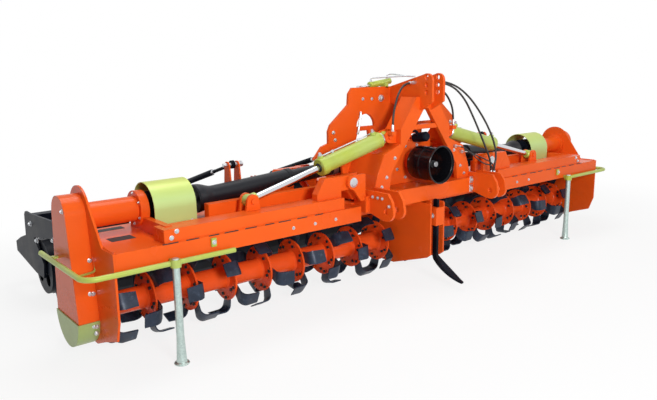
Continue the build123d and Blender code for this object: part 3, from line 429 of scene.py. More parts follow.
# clouds and grain are noises (scale, detail, roughness), colours lie at their two ends,
# roughness is (even part, cloudy part) and bump is (distance, strength, edge radius)
plainLooks = {
    "blade_black": {
        "shader": {"metallic": 0.15, "specularIorLevel": 0.3},
        "clouds": (14, 4, 0.6),
        "colours": ((0.007, 0.010, 0.017, 1), (0.036, 0.056, 0.098, 1)),
        # bluish patches painted on the blades as highlight
        "paintedHighlightColour": (0.11, 0.15, 0.22, 1),
        "roughness": (0.28, 0.2),
        "grain": (90, 3, 0.6),
        "bump": (0.0006, 0.5),
    },
    "moulded_black": {
        "shader": {"baseColor": (0.006, 0.006, 0.008, 1), "coatWeight": 0.12,
                   "coatRoughness": 0.1, "specularIorLevel": 0.25},
        "clouds": (7,),
        "roughness": (0.14, 0.15),
        "grain": (240, 2),
        "bump": (0.0002, 0.4, 0.002),
    },
    "shaft_guard_black": {
        "shader": {"baseColor": (0.008, 0.009, 0.013, 1), "specularIorLevel": 0.25},
        "clouds": (9, 4, 0.6),
        "roughness": (0.28, 0.25),
        "grain": (180, 2),
        "bump": (0.0003, 0.5),
    },
    "hard_chrome": {
        "shader": {"baseColor": (0.66, 0.68, 0.71, 1), "metallic": 1.0},
        "clouds": (30, 2),
        "roughness": (0.07, 0.08),
    },
    "bright_zinc": {
        "shader": {"metallic": 0.85},
        "clouds": (50,),
        "colours": ((0.50, 0.52, 0.55, 1), (0.72, 0.74, 0.76, 1)),
        "roughness": (0.2, 0.2),
    },
    "machined_steel": {
        "shader": {"metallic": 0.9},
        "clouds": (40, 4, 0.6),
        "colours": ((0.20, 0.20, 0.21, 1), (0.42, 0.42, 0.43, 1)),
        "roughness": (0.22, 0.25),
    },
    "hose_rubber": {
        "shader": {"baseColor": (0.014, 0.013, 0.013, 1)},
        "clouds": (60, 3, 0.6),
        "roughness": (0.38, 0.25),
        "grain": (500, 2),
        "bump": (0.0002, 0.5),
    },
    "dark_opening": {
        "shader": {"baseColor": (0.010, 0.009, 0.008, 1)},
        "clouds": (20,),
        "roughness": (0.6, 0.2),
    },
}


def plainFinish(name):
    look = plainLooks[name]
    made = Finish(name, **look["shader"])
    clouds = made.noise(*look["clouds"])
    if "colours" in look:
        colour = made.mix(clouds, *look["colours"])
        # bluish patches of painted highlight mixed into the colour
        if "paintedHighlightColour" in look:
            paintedHighlights = made.ramp(made.noise(34, 5, 0.65), 0.55, 0.72) * 0.35
            colour = made.mix(paintedHighlights, colour, look["paintedHighlightColour"])
        made.set("baseColor", colour)
    even, cloudy = look["roughness"]
    made.set("roughness", clouds * cloudy + even)
    if "grain" in look:
        made.bump(made.noise(*look["grain"]), *look["bump"])
    return made.material


orange = enamelPaint("orange_enamel")
# the rotors' copy of the orange paint, its redder colour painted light and shade
rotorPaintedLightOrange = enamelPaint("rotor_enamel_painted_light")
yellow = yellowZinc("yellow_zinc")
black = satinBlack("satin_black")
bladeBlack = plainFinish("blade_black")
plastic = plainFinish("moulded_black")
shaftBlack = plainFinish("shaft_guard_black")
chrome = plainFinish("hard_chrome")
galvanised = galvanisedSteel("galvanised_steel")
silver = plainFinish("bright_zinc")
steel = plainFinish("machined_steel")
rubber = plainFinish("hose_rubber")
dark = plainFinish("dark_opening")
slotMaterial = {
    "orange_paint": orange,
    "yellow_green_zinc": yellow,
    "black_steel": black,
    "black_plastic": shaftBlack,
    "chrome_rod": chrome,
    "galvanised": galvanised,
    "silver_zinc": silver,
    "black_rubber": rubber,
    "bare_steel": steel,
}


def dressNode(node, material):
    for materialSlot in cadNodes[node].material_slots:
        materialSlot.material = material


for part in frame["record"]["subparts"]:
    dressNode(part["node"], slotMaterial[part["material_slot"]])
# the clutch covers get their own zinc copy, the case shoes the darker one with painted shade
for node, name in (("clutch_cover", "cover_zinc"), ("case_shoe", "shoe_zinc_painted_shade")):
    material = yellowZinc(name)
    for sideName in sides:
        dressNode(node + "_" + sideName, material)
print("finishes ready:", len(slotMaterial))


# a node's lowest and highest corner, for the places that follow it
def span(node):
    low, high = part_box(node)
    return Vector(low), Vector(high)


deckLow, deckHigh = span("deck_right")
tubeLow, tubeHigh = span("input_tube_right")
gearLow, gearHigh = span("gearbox")
rotorPlace = jointPlace["rotor_turn_right"]
foldPlace = jointPlace["fold_right"]
ptoPlace = jointPlace["pto_turn"]
basePin = jointPlace["cylinder_swing_right"]
shaftPin = jointPlace["shaft_swing_right"]
axisY = rotorPlace.y


# a point some way behind the rotor axis
def behind(x, back, z):
    return Vector((x, axisY + back, z))


rotorLook = {
    "flanges": 9,
    "bladesEach": 6,
    "innerGap": 0.078,          # from the rotor's ends to the first and last flange
    "outerGap": 0.100,
    "stepDegrees": 23,
    "flangeRadius": 0.145,
    "flangeThick": 0.012,
    "holes": 12,
    "holeCircle": 0.126,
    "holeStagger": 0.014,
    "holeRadius": 0.008,
    "tubeRadius": 0.066,
    "tubeGaps": (0.042, 0.064),
    "hubRadius": 0.076,
    "stubRadius": 0.030,
    "ringRadius": 0.092,
    "ringGaps": (0.045, 0.078),
    "bladeWidth": 0.090,
    "bladeThick": 0.008,
    "tipRadius": 0.220,
    "tipReach": 0.116,
    "bendRadius": 0.044,
    "root": 0.088,
    "boltPlaces": ((0.106, -0.016), (0.126, 0.016)),    # radius, sideways
}


# sections of a blade from root to tip: (sideways, radius, backward lean, width)
def bladeStations():
    look = rotorLook
    top, bend, wide = look["tipRadius"], look["bendRadius"], look["bladeWidth"]
    rows = []
    for k in range(6):
        t = k / 5
        radius = look["root"] + (top - bend - look["root"]) * t
        rows.append((0, radius, 0.004 - 0.020 * t * t, wide * (0.62 + 0.30 * t)))
    for k in range(1, 7):
        angle = math.radians(15 * k)
        reach = bend - bend * math.cos(angle)
        radius = top - bend + bend * math.sin(angle)
        rows.append((reach, radius, -0.016 - 0.006 * k / 6, wide * (0.92 + 0.08 * k / 6)))
    for k in range(1, 5):
        t = k / 4
        reach = bend + (look["tipReach"] - bend) * t
        rows.append((reach, top, -0.022 - 0.002 * t, wide * (1 - 0.10 * t)))
    return rows


# an L blade that points to one side, bolted on the flange face given by mount
def addBlade(shape, x, side, mount, turn):
    look = rotorLook
    rows = bladeStations()
    thick = look["bladeThick"]
    across = (-0.5, -0.32, 0.0, 0.5)      # cutting edge first
    depth = (0.25, 1.0, 1.0, 1.0)
    start = x + mount * look["flangeThick"] / 2 + (mount - side) / 2 * thick
    spin = Matrix.Rotation(turn, 3, "X")
    points = []
    for index, (reach, radius, lean, width) in enumerate(rows):
        before, after = rows[max(index - 1, 0)], rows[min(index + 1, len(rows) - 1)]
        run = Vector((after[0] - before[0], after[1] - before[1])).normalized()
        for face in (-0.5, 0.5):
            for share, deep in zip(across, depth):
                shift = thick * (0.5 + face * deep)
                lateral, height = reach + run.y * shift, radius - run.x * shift
                turned = spin @ Vector((0, share * width + lean, height))
                points.append((start + side * lateral, axisY + turned.y, rotorPlace.z + turned.z))
    faces = []
    for low in range(0, (len(rows) - 1) * 8, 8):
        high = low + 8
        for k in range(3):
            faces.append((low + k, low + k + 1, high + k + 1, high + k))
            faces.append((low + 4 + k, high + 4 + k, high + 5 + k, low + 5 + k))
        faces.append((low, high, high + 4, low + 4))
        faces.append((low + 3, low + 7, high + 7, high + 3))
    for k in range(3):
        faces.append((k, 4 + k, 5 + k, 1 + k))
        faces.append((high + k, high + 1 + k, high + 5 + k, high + 4 + k))
    shape.add(points, faces)


def buildRotor(sideName, side):
    look = rotorLook
    body = "rotor_" + sideName
    low, high = span("rotor_right")
    last = look["flanges"] - 1
    first = low.x + look["innerGap"]
    pitch = (high.x - look["outerGap"] - first) / last
    tube, blades, bolts = Shape(side), Shape(side), Shape(side)
    thick, tubeRadius, hub = look["flangeThick"], look["tubeRadius"], look["hubRadius"]

    def at(x):
        return Vector((x, axisY, rotorPlace.z))

    tube.bar(at(low.x + look["tubeGaps"][0]), at(high.x - look["tubeGaps"][1]), tubeRadius, 40)
    tube.bar(at(low.x), at(high.x), look["stubRadius"], 28)
    for end in (low.x + look["ringGaps"][0], high.x - look["ringGaps"][1]):
        tube.bar(at(end - 0.004), at(end + 0.018), look["ringRadius"], 36)
    for i in range(look["flanges"]):
        x = first + i * pitch
        turnBase = math.radians(i * look["stepDegrees"])
        holes = []
        for k in range(look["holes"]):
            angle = turnBase + math.radians(30 * k + 15)
            radius = look["holeCircle"] - (look["holeStagger"] if k % 2 else 0)
            spot = (radius * math.cos(angle), radius * math.sin(angle))
            holes.append(circle(spot, look["holeRadius"], 12))
        holes.append(circle((0, 0), tubeRadius - 0.004, 32))
        outline = circle((0, 0), look["flangeRadius"], 56)
        tube.plate(outline, at(x - thick / 2), yWay, zWay, thick, holes)
        for way in (-1, 1):
            collar = [(0, hub), (0.006, hub - 0.006), (0.010, tubeRadius)]
            tube.turned(collar, at(x + way * thick / 2), xWay * way, 36)
        for k in range(look["bladesEach"]):
            way = 1 if k % 2 else -1
            if (i, way) in ((0, -1), (last, 1)):        # the end blades all point inwards
                way = -way
            turn = math.radians(k * 360 / look["bladesEach"]) + turnBase
            addBlade(blades, x, way, side, turn)
            for radius, drift in look["boltPlaces"]:
                spin = Matrix.Rotation(turn, 3, "X") @ Vector((0, drift, radius))
                spot = at(x - side * thick / 2) + spin
                nut = [(-0.002, 0.0105), (0.008, 0.0105), (0.009, 0.009)]
                bolts.turned(nut, spot, xWay * -side, 6)
                spot = at(x + side * (thick / 2 + look["bladeThick"])) + spin
                bolts.turned([(-0.002, 0.011), (0.007, 0.0095)], spot, xWay * side, 12)
    # the rotor tube wears the copy of the orange paint with painted light and shade
    tube.finish("rotor_tube_" + sideName, body, "orange_paint", rotorPaintedLightOrange,
                replaced=["rotor_" + sideName])
    blades.finish("rotor_blades_" + sideName, body, "black_steel", bladeBlack, sharp=25)
    bolts.finish("blade_bolts_" + sideName, body, "bare_steel", dark)


for sideName, side in sides.items():
    buildRotor(sideName, side)
print("rotors built")


guardLook = {
    "wall": 0.005,
    "barrelShare": 0.89,        # of the rim's radius
    "noseRadius": 0.071,
    "boltRadius": 0.088,
}


def buildGuard():
    low, high = span("pto_guard")
    rim = (high.x - low.x) / 2
    length = high.y - low.y
    tube = rim * guardLook["barrelShare"]
    wall = guardLook["wall"]
    outer = [
        (0, rim - 0.003), (0.002, rim - 0.0005), (0.006, rim), (0.012, rim - 0.001),
        (0.016, rim - 0.005), (0.030, rim * 0.945), (0.052, rim * 0.915), (0.080, tube),
        (0.110, tube), (0.113, tube + 0.002), (0.121, tube + 0.002), (0.124, tube),
        (length - 0.016, tube), (length - 0.006, tube - 0.004), (length, tube - 0.014),
    ]
    inner = [(min(s, length - wall), r - wall) for s, r in reversed(outer)]
    cup = Shape()
    cup.ring(outer + inner, (ptoPlace.x, low.y, ptoPlace.z), yWay, 72)
    back = circle((0, 0), tube - wall, 48)
    nose = circle((0, 0), guardLook["noseRadius"], 36)
    cup.plate(back, (ptoPlace.x, high.y, ptoPlace.z), xWay, zWay, wall, [nose])
    cup.finish("drive_guard_cup", "frame", "black_plastic", plastic, replaced=["pto_guard"])
    fixings = Shape()
    radii = (guardLook["boltRadius"], guardLook["boltRadius"])
    fixings.boltCircle((ptoPlace.x, high.y - wall, ptoPlace.z), -yWay, radii, 4, 45, 0.007)
    fixings.finish("drive_guard_bolts", "frame", "silver_zinc")


stubLook = {
    "splines": 20,
    "rootRadius": 0.0198,
    "crestRadius": 0.0221,
    "grooveRadius": 0.0180,
    "noseRadius": 0.017,
    "splineStart": 0.030,
    "splineLength": 0.080,
    "collarStart": 0.165,
}


def buildStub():
    look = stubLook
    low, high = span("pto_shaft")
    nose, root, crest = look["noseRadius"], look["rootRadius"], look["crestRadius"]
    start, collar = look["splineStart"], look["collarStart"]

    def at(distance):
        return Vector((ptoPlace.x, low.y + distance, ptoPlace.z))

    outline = []
    for k in range(look["splines"]):
        for share, radius in ((0.02, root), (0.25, crest), (0.55, crest), (0.78, root)):
            angle = 2 * math.pi * (k + share) / look["splines"]
            outline.append((radius * math.cos(angle), radius * math.sin(angle)))
    stub = Shape()
    stub.plate(outline, at(start), xWay, zWay, -look["splineLength"], soft=0)
    for rows in (
        [(0, nose), (0.003, root), (start, root)],
        [(start - 0.002, look["grooveRadius"]), (start + 0.010, look["grooveRadius"])],
        [(start + look["splineLength"], crest), (collar, crest)],
    ):
        stub.turned(rows, at(0), yWay, 40)
    stub.bar(at(collar), (ptoPlace.x, high.y, ptoPlace.z), (high.x - low.x) / 2, 40)
    stub.finish("drive_stub", "pto_shaft", "bare_steel", replaced=["pto_shaft"])


buildGuard()
buildStub()
print("drive guard built")


shaftLook = {
    "innerTube": 0.046,
    "innerLength": 0.850,
    "innerBell": 0.060,
    "innerBellEnd": 0.160,
    "innerBellLength": 0.115,
    "outerTube": 0.056,
    "outerLength": 0.720,
    "outerBell": 0.084,
    "outerBellLength": 0.120,
    "bellGap": 0.030,           # from the bell's lip to the far pin
    "clampX": 0.530,
    "clampHalf": 0.022,
    "clampThick": 0.004,
    "neck": 0.020,
    "eye": 0.026,
    "eyeHalf": 0.024,
}


# a smooth guard cone from a tube's radius out to a rolled lip
def bellRows(start, length, small, large):
    rows = [(start, small)]
    for k in range(1, 9):
        t = k / 8
        rows.append((start + length * 0.86 * t, small + (large - small) * t * t * (3 - 2 * t)))
    rows.append((start + length * 0.90, large + 0.001))
    rows.append((start + length * 0.97, large + 0.001))
    rows.append((start + length, large - 0.002))
    return rows


def buildShafts(sideName, side):
    look = shaftLook
    thin, wide = look["innerTube"], look["outerTube"]
    farX = span("shaft_outer_right")[1].x - look["eye"]
    farPin = Vector((farX, axisY, (tubeLow.z + tubeHigh.z) / 2))
    along = (farPin - shaftPin).normalized()
    reach = (farPin - shaftPin).length

    def finishHalf(name, rows, metal, eye):
        guard = Shape(side)
        guard.turned(rows, shaftPin, along, 40)
        metal.pin(eye, yWay * look["eyeHalf"], look["eye"], 28)
        body = "shaft_" + name + "_" + sideName
        guard.finish("shaft_guard_" + name + "_" + sideName, body, "black_plastic", replaced=[body])
        metal.finish("shaft_joint_" + name + "_" + sideName, body, "bare_steel")

    end = look["innerLength"]
    bell = bellRows(0, look["innerBellLength"], thin, look["innerBell"])
    rows = [(0.040, look["outerBell"] * 0.70)]
    rows += [(look["innerBellEnd"] - s, r) for s, r in reversed(bell[:-1])]
    rows += [(0.17, thin), (end - 0.002, thin), (end, thin - 0.002)]
    s, half = (look["clampX"] - shaftPin.x) / along.x, look["clampHalf"]
    rim = thin + look["clampThick"]
    joint = Shape(side)
    joint.ring([(s - half, thin), (s - half, rim), (s + half, rim), (s + half, thin)],
               shaftPin, along, 40)
    joint.bolt(shaftPin + along * s - yWay * rim, -yWay, 0.009)
    joint.turned([(0.010, look["neck"]), (0.060, look["neck"])], shaftPin, along, 24)
    finishHalf("inner", rows, joint, shaftPin)

    start, lip = reach - look["outerLength"], reach - look["bellGap"]
    rows = [(start, thin + 0.0006), (start, wide + 0.005), (start + 0.030, wide + 0.005),
            (start + 0.036, wide)]
    length = look["outerBellLength"]
    rows += bellRows(lip - length, length, wide, look["outerBell"])
    rows += [(lip + 0.004, look["outerBell"] - 0.004), (lip, look["neck"])]
    joint = Shape(side)
    joint.turned([(lip, look["neck"]), (reach - 0.012, look["neck"])], shaftPin, along, 24)
    finishHalf("outer", rows, joint, farPin)


for sideName, side in sides.items():
    buildShafts(sideName, side)
print("wing shafts built")


cylinderLook = {
    "barrel": 0.050,
    "gland": 0.057,
    "base": 0.060,              # from the base pin to the barrel's end
    "barrelLength": 0.530,
    "rod": 0.0190,
    "rodLength": 0.520,
    "eye": 0.036,
    "eyeHalf": 0.025,
    "line": 0.0045,
    "clips": (0.032, 0.150, 0.380),     # from the barrel's end
}


def buildCylinder(sideName, side):
    look = cylinderLook
    rodLow, rodHigh = span("cylinder_rod_right")
    rodPin = Vector((rodHigh.x - look["eye"], basePin.y, rodLow.z + look["eye"]))
    along = (rodPin - basePin).normalized()
    up = Vector((-along.z, 0, along.x))
    front = (up * 0.86 + yWay * 0.51).normalized()
    reach = (rodPin - basePin).length
    r, g, rod = look["barrel"], look["gland"], look["rod"]
    base, eyeSpan = look["base"], yWay * look["eyeHalf"]
    end = base + look["barrelLength"]

    # a point on the cylinder, some way out from its middle line
    def at(s, way=up, out=0.0):
        return basePin + along * s + way * out

    barrel, wiper, port = Shape(side), Shape(side), Shape(side)
    rows = [(base - 0.004, r - 0.006), (base, r - 0.002), (base + 0.004, r + 0.003),
            (base + 0.012, r + 0.003), (base + 0.016, r), (end - 0.052, r), (end - 0.048, g),
            (end - 0.006, g), (end, g - 0.006)]
    barrel.turned(rows, basePin, along, 48)
    barrel.pin(basePin, eyeSpan, look["eye"], 36)
    neck = [(-0.01, -0.029), (base + 0.010, -0.034), (base + 0.010, 0.034), (-0.01, 0.029)]
    barrel.plate(neck, basePin + eyeSpan - yWay * 0.002, along, up, 0.046)
    for s in (base + 0.045, end - 0.028):
        barrel.turned([(0, 0.019), (0.018, 0.019), (0.021, 0.016)], at(s, up, r - 0.004), up, 20)
        nut = [(0, 0.013), (0.010, 0.013), (0.011, 0.009), (0.020, 0.009)]
        port.turned(nut, at(s, up, r + 0.017), up, 6)
    # steel line along the barrel from its base to the gland, with its clips
    line = [at(base + 0.030, front, r + 0.006), at(base + 0.050, front, r + 0.010),
            at(base + look["barrelLength"] * 0.5, front, r + 0.010),
            at(end - 0.075, front, r + 0.010), at(end - 0.030, front, g - 0.002)]
    port.tube(smoothPath(line), look["line"], 10)
    for s in look["clips"]:
        port.bar(at(base + s, front, r - 0.004), at(base + s, front, r + 0.017), 0.009, 16)
    rows = [(base - 0.030, 0.030), (base - 0.012, 0.044), (base + 0.002, 0.044)]
    port.turned(rows, basePin, along, 32)
    wiper.turned([(end - 0.012, rod + 0.012), (end + 0.006, rod + 0.008)], basePin, along, 32)
    body = "barrel_" + sideName
    barrel.finish("cylinder_tube_" + sideName, body, "yellow_green_zinc",
                  replaced=["cylinder_barrel_" + sideName])
    port.finish("cylinder_ports_" + sideName, body, "silver_zinc")
    wiper.finish("cylinder_wiper_" + sideName, body, "black_plastic", dark)
    bar, eye = Shape(side), Shape(side)
    foot = reach - 0.040
    bar.turned([(foot - look["rodLength"], rod), (foot, rod), (foot + 0.008, 0.018)],
               basePin, along, 36)
    eye.pin(rodPin, eyeSpan, look["eye"], 36)
    rows = [(reach - 0.051, 0.026), (reach - 0.045, 0.032), (reach - 0.020, 0.034)]
    eye.turned(rows, basePin, along, 28)
    body = "rod_" + sideName
    bar.finish("cylinder_rod_bar_" + sideName, body, "chrome_rod",
               replaced=["cylinder_rod_" + sideName])
    eye.finish("cylinder_rod_eye_" + sideName, body, "yellow_green_zinc")


for sideName, side in sides.items():
    buildCylinder(sideName, side)
print("fold cylinders built")


# lift hoses run to the cylinder brackets, the others to the holder on the right ears;
# points are (x, distance behind the rotor axis, z)
hoseLook = {
    "hose_lift_left": {
        "points": [(-0.085, -0.330, 1.385), (-0.160, -0.330, 1.385), (-0.232, -0.340, 1.330),
                   (-0.280, -0.352, 1.245), (-0.305, -0.356, 1.160), (-0.305, -0.356, 1.075)],
        "radius": 0.007, "length": 0.434,
    },
    "hose_lift_right": {
        "points": [(0.085, -0.352, 1.345), (0.150, -0.352, 1.345), (0.225, -0.356, 1.298),
                   (0.280, -0.358, 1.225), (0.305, -0.356, 1.150), (0.305, -0.356, 1.075)],
        "radius": 0.007, "length": 0.395,
    },
    "hose_feed_inner": {
        "points": [(0.085, -0.325, 1.385), (0.170, -0.325, 1.385), (0.272, -0.380, 1.350),
                   (0.362, -0.408, 1.262), (0.432, -0.422, 1.150), (0.494, -0.440, 1.030),
                   (0.550, -0.459, 0.908), (0.604, -0.477, 0.790), (0.604, -0.477, 0.688)],
        "radius": 0.007, "length": 0.966,
    },
    "hose_feed_outer": {
        "points": [(0.085, -0.285, 1.395), (0.180, -0.285, 1.395), (0.300, -0.360, 1.366),
                   (0.415, -0.398, 1.282), (0.515, -0.420, 1.172), (0.598, -0.440, 1.055),
                   (0.656, -0.460, 0.930), (0.668, -0.474, 0.830), (0.640, -0.477, 0.755),
                   (0.640, -0.477, 0.688)],
        "radius": 0.007, "length": 1.061,
    },
    "hose_thin_inner": {
        "points": [(0.300, -0.392, 0.930), (0.300, -0.460, 0.930), (0.352, -0.480, 0.888),
                   (0.420, -0.490, 0.832), (0.500, -0.496, 0.790), (0.565, -0.500, 0.778),
                   (0.600, -0.500, 0.748), (0.600, -0.500, 0.688)],
        "radius": 0.0045, "length": 0.476,
    },
    "hose_thin_outer": {
        "points": [(0.372, -0.392, 0.884), (0.372, -0.460, 0.884), (0.425, -0.482, 0.858),
                   (0.485, -0.491, 0.834), (0.545, -0.497, 0.808), (0.596, -0.500, 0.780),
                   (0.616, -0.500, 0.745), (0.616, -0.500, 0.688)],
        "radius": 0.0045, "length": 0.408,
    },
}


def buildHoses():
    ends = Shape()
    for name, look in hoseLook.items():
        points = [behind(*place) for place in look["points"]]
        wide = look["radius"]
        curve = bpy.data.curves.new(name + "_line", "CURVE")
        curve.dimensions = "3D"
        curve.bevel_depth = wide
        curve.bevel_resolution = 4
        curve.resolution_u = 16
        line = curve.splines.new("NURBS")
        line.points.add(len(points) - 1)
        for spot, point in zip(line.points, points):
            spot.co = (*point, 1)
        line.order_u = 3
        line.use_endpoint_u = True
        curve.materials.append(rubber)
        piece = addObject(name + "_rubber", curve)
        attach(piece, "frame")
        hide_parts(name)
        # crimped ferrule and nut at both ends
        for end, inward in ((points[0], points[1]), (points[-1], points[-2])):
            along = inward - end
            ends.turned([(-0.002, wide * 1.55), (0.010, wide * 1.55)], end, along, 6)
            ferrule = [(0.008, wide * 1.18), (0.040, wide * 1.24), (0.043, wide * 1.05)]
            ends.turned(ferrule, end, along, 20)
    ends.finish("hose_ends", "frame", "silver_zinc")


buildHoses()
print("hoses laid")


# "back" is the distance behind the rotor axis in all that follows
wingLook = {
    "boltSize": 0.009,
    "plateThick": 0.012,
    # down the front edge of the drive case: (out from the side plate, z, half depth there)
    "caseBolts": ((0.012, 0.545, 0.132), (0.030, 0.375, 0.150), (0.014, 0.372, 0.150),
                  (0.030, 0.205, 0.166), (0.016, 0.200, 0.166), (0.022, 0.165, 0.168)),
    "bearingCircle": 0.115,
    "lipBolts": (0.86, 1.02, 1.18),
    "lipBoltZ": 0.585,
    "bracketBolts": ((1.905, 0.690), (1.935, 0.660)),
    "seamHeight": 0.636,
    "beamStart": 0.99,
    "flangeRims": (0.030, 0.022),       # inner and outer flange, beyond the tube's radius
    "coverBoltSpan": 0.138,
    # hook rod from the guard bar to the drive case: (x, back, z)
    "hook": ((2.392, -0.330, 0.534), (2.360, -0.290, 0.524), (2.275, -0.190, 0.498),
             (2.252, -0.167, 0.495), (2.241, -0.158, 0.508), (2.239, -0.155, 0.546)),
    "hookRadius": 0.006,
    # the roller frame's front angle, seen over the deck's rear edge
    "frontAngle": ((1.890, 0.222, 0.560), (0.232, 0.648)),
    # near-black patches laid flush on the deck: (x, back, width, depth); the one behind the rotor axis is painted
    # shadow of the gap behind the deck
    "plates": ((2.092, -0.150, 0.130, 0.085), (2.060, 0.085, 0.150, 0.060)),
    "plateSink": 0.0008,
    "joints": 9,                # open lengths between the stitch welds of beam and deck
    "jointStart": 0.96,
    "jointPitch": 0.118,
    "jointLength": 0.062,
    "clampX": {"left": 1.706, "right": 1.600},
    "clampHalf": 0.016,
    "clampHeights": (0.575, 0.600, 0.622),
}


def dressWing(sideName, side):
    look = wingLook
    body = "wing_" + sideName
    size, seam, begin = look["boltSize"], look["seamHeight"], look["beamStart"]
    welds, bolts, hooks, darkBits = Shape(side), Shape(side), Shape(side), Shape(side)
    front = deckLow.y
    outer = span("side_plates_right")[1].x
    inside = outer - look["plateThick"]
    caseHigh = span("drive_case_right")[1]
    beamEnd = span("beams_right")[1].x
    coverLow, coverHigh = span("clutch_cover_right")
    for inset, z, half in look["caseBolts"]:
        bolts.bolt((outer + inset, axisY - half, z), -yWay, size)
    bolts.bolt((caseHigh.x, axisY - 0.075, caseHigh.z - 0.070), xWay, 0.010)
    # bolts that clamp the case and bearing to the side plate, seen from the inside
    radii = (look["bearingCircle"], look["bearingCircle"])
    bolts.boltCircle((inside, axisY, rotorPlace.z), -xWay, radii, 8, 22.5, size)
    # edge seams of beams and side plate on the deck
    edge = inside - 0.001
    for start, end in (
        ((begin, front + 0.008, seam), (beamEnd, front + 0.008, seam)),
        ((begin, front + 0.132, seam), (beamEnd - 0.08, front + 0.132, seam)),
        ((begin, axisY - 0.202, seam), (1.59, axisY - 0.202, seam)),
        ((begin, axisY - 0.148, seam), (1.59, axisY - 0.148, seam)),
        ((inside, front + 0.01, seam), (inside, axisY + 0.14, seam)),
        ((edge, front + 0.004, 0.55), (edge, front + 0.004, seam - 0.004)),
        ((begin - 0.016, front + 0.040, seam), (begin - 0.016, front + 0.088, seam)),
    ):
        welds.weld(start, end)
    # flange rings at both ends of the input tube
    tubeZ, tubeR = (tubeLow.z + tubeHigh.z) / 2, (tubeHigh.z - tubeLow.z) / 2
    near, far = (tubeR + rim for rim in look["flangeRims"])
    welds.turned([(0, near), (0.010, near), (0.012, near - 0.002), (0.012, tubeR)],
                 (tubeLow.x, axisY, tubeZ), xWay, 48)
    welds.turned([(0, far), (0.010, far), (0.012, far - 0.004)],
                 (tubeHigh.x, axisY, tubeZ), -xWay, 48)
    radii = (tubeR + 0.016, tubeR + 0.016)
    bolts.boltCircle((tubeLow.x + 0.012, axisY, tubeZ), xWay, radii, 6, 30, 0.007)
    for x in look["lipBolts"]:
        bolts.bolt((x, front, look["lipBoltZ"]), -yWay, 0.008)
    for x, z in look["bracketBolts"]:
        bolts.bolt((x, front + 0.010, z), -yWay, 0.010)
    for x in (coverLow.x + 0.03, coverHigh.x - 0.03):
        for way in (-1, 1):
            spot = behind(x, way * look["coverBoltSpan"], deckHigh.z + 0.030)
            bolts.bolt(spot, yWay * way, 0.007)
    hook = smoothPath([behind(*place) for place in look["hook"]])
    hooks.tube(hook, look["hookRadius"], 10)
    low, (back, top) = look["frontAngle"]
    darkBits.block(behind(*low), behind(outer - 0.002, back, top), 0.002)
    # near-black patches on the deck top; the one behind the axis is painted shadow
    for x, back, wide, deep in look["plates"]:
        a, b = wide / 2, deep / 2
        spot = behind(x, back, deckHigh.z - look["plateSink"])
        darkBits.plate([(-a, -b), (a, -b), (a, b), (-a, b)], spot, xWay, yWay, 0.0015)
    for k in range(look["joints"]):
        x = look["jointStart"] + k * look["jointPitch"]
        end = x + look["jointLength"] + 0.012 * (k % 3)
        darkBits.block((x, front - 0.0012, seam - 0.0035), (end, front + 0.0005, seam + 0.0025),
                       0.0005)
    # clamp of the guard bar on the front lip
    x, half = look["clampX"][sideName], look["clampHalf"]
    low, middle, high = look["clampHeights"]
    hooks.block((x - half, front - 0.012, low), (x + half, front + 0.001, high), 0.003)
    bolts.bolt((x, front - 0.012, middle), -yWay, 0.010)
    bolts.finish("wing_bolts_" + sideName, body, "silver_zinc")
    welds.finish("wing_welds_" + sideName, body, "orange_paint")
    hooks.finish("wing_hook_" + sideName, body, "yellow_green_zinc")
    # dark angle, weld gaps and deck patches, one of the patches painted shadow
    darkBits.finish("dark_bits_with_painted_shadow_" + sideName, body, "black_steel", dark)


# post, turnbuckle and foot that set the packer roller's depth
depthLook = {
    "places": (1.250, 0.42),
    "postBack": 0.110,
    "postTop": 0.930,
    "postSides": (-0.040, 0.030),
    "footBack": 1.142,
    "footZ": 0.590,
    "footSides": (-0.024, 0.014),
    "plateThick": 0.010,
    "screw": 0.011,
    "sleeve": 0.020,
    "knuckle": 0.026,
}


def buildDepthLinks(sideName, side):
    look = depthLook
    body = "wing_" + sideName
    posts, screws, eyes = Shape(side), Shape(side), Shape(side)
    rise, screw, sleeve = look["postTop"] - deckHigh.z, look["screw"], look["sleeve"]
    post = [(-0.055, 0), (0.055, 0), (0.028, rise - 0.02), (0.012, rise), (-0.012, rise),
            (-0.028, rise - 0.02)]
    ear = [(-0.045, -0.030), (0.045, -0.030), (0.024, 0.030), (-0.024, 0.030)]
    for x in look["places"]:
        for gap in look["postSides"]:
            spot = behind(x + gap, look["postBack"], deckHigh.z - 0.002)
            posts.plate(post, spot, yWay, zWay, look["plateThick"])
        top = behind(x, look["postBack"], look["postTop"] - 0.022)
        eyes.pin(top, xWay * 0.066, 0.012, 18)
        eyes.bar(top - xWay * 0.070, top - xWay * 0.058, 0.019, 18)
        foot = behind(x, look["footBack"], look["footZ"])
        way = (foot - top).normalized()
        reach = (foot - top).length
        screws.turned([(0.02, screw), (0.28, screw)], top, way, 18)
        screws.turned([(0.26, sleeve - 0.003), (0.27, sleeve), (reach - 0.27, sleeve),
                       (reach - 0.26, sleeve - 0.003)], top, way, 24)
        screws.turned([(reach - 0.28, screw), (reach - 0.02, screw)], top, way, 18)
        for start, end in ((0.24, 0.262), (reach - 0.262, reach - 0.24)):
            eyes.turned([(start, sleeve - 0.003), (end, sleeve - 0.003)], top, way, 6)
        for end in (top, foot):
            screws.pin(end, xWay * 0.011, look["knuckle"], 24)
        for gap in look["footSides"]:
            posts.plate(ear, foot + xWay * gap - zWay * 0.002, yWay, zWay, look["plateThick"])
        eyes.pin(foot, xWay * 0.034, 0.010, 18)
    posts.finish("depth_posts_" + sideName, body, "orange_paint")
    screws.finish("depth_screws_" + sideName, body, "black_steel")
    eyes.finish("depth_pins_" + sideName, body, "silver_zinc")


rollerBoltLook = {
    "endPlate": ((0.590, 0.500), (0.945, 0.430), (1.060, 0.520)),      # (back, z)
    "beamInsets": (0.17, 0.23),
    "beamBack": 1.1825,
    "beamZ": 0.525,
}


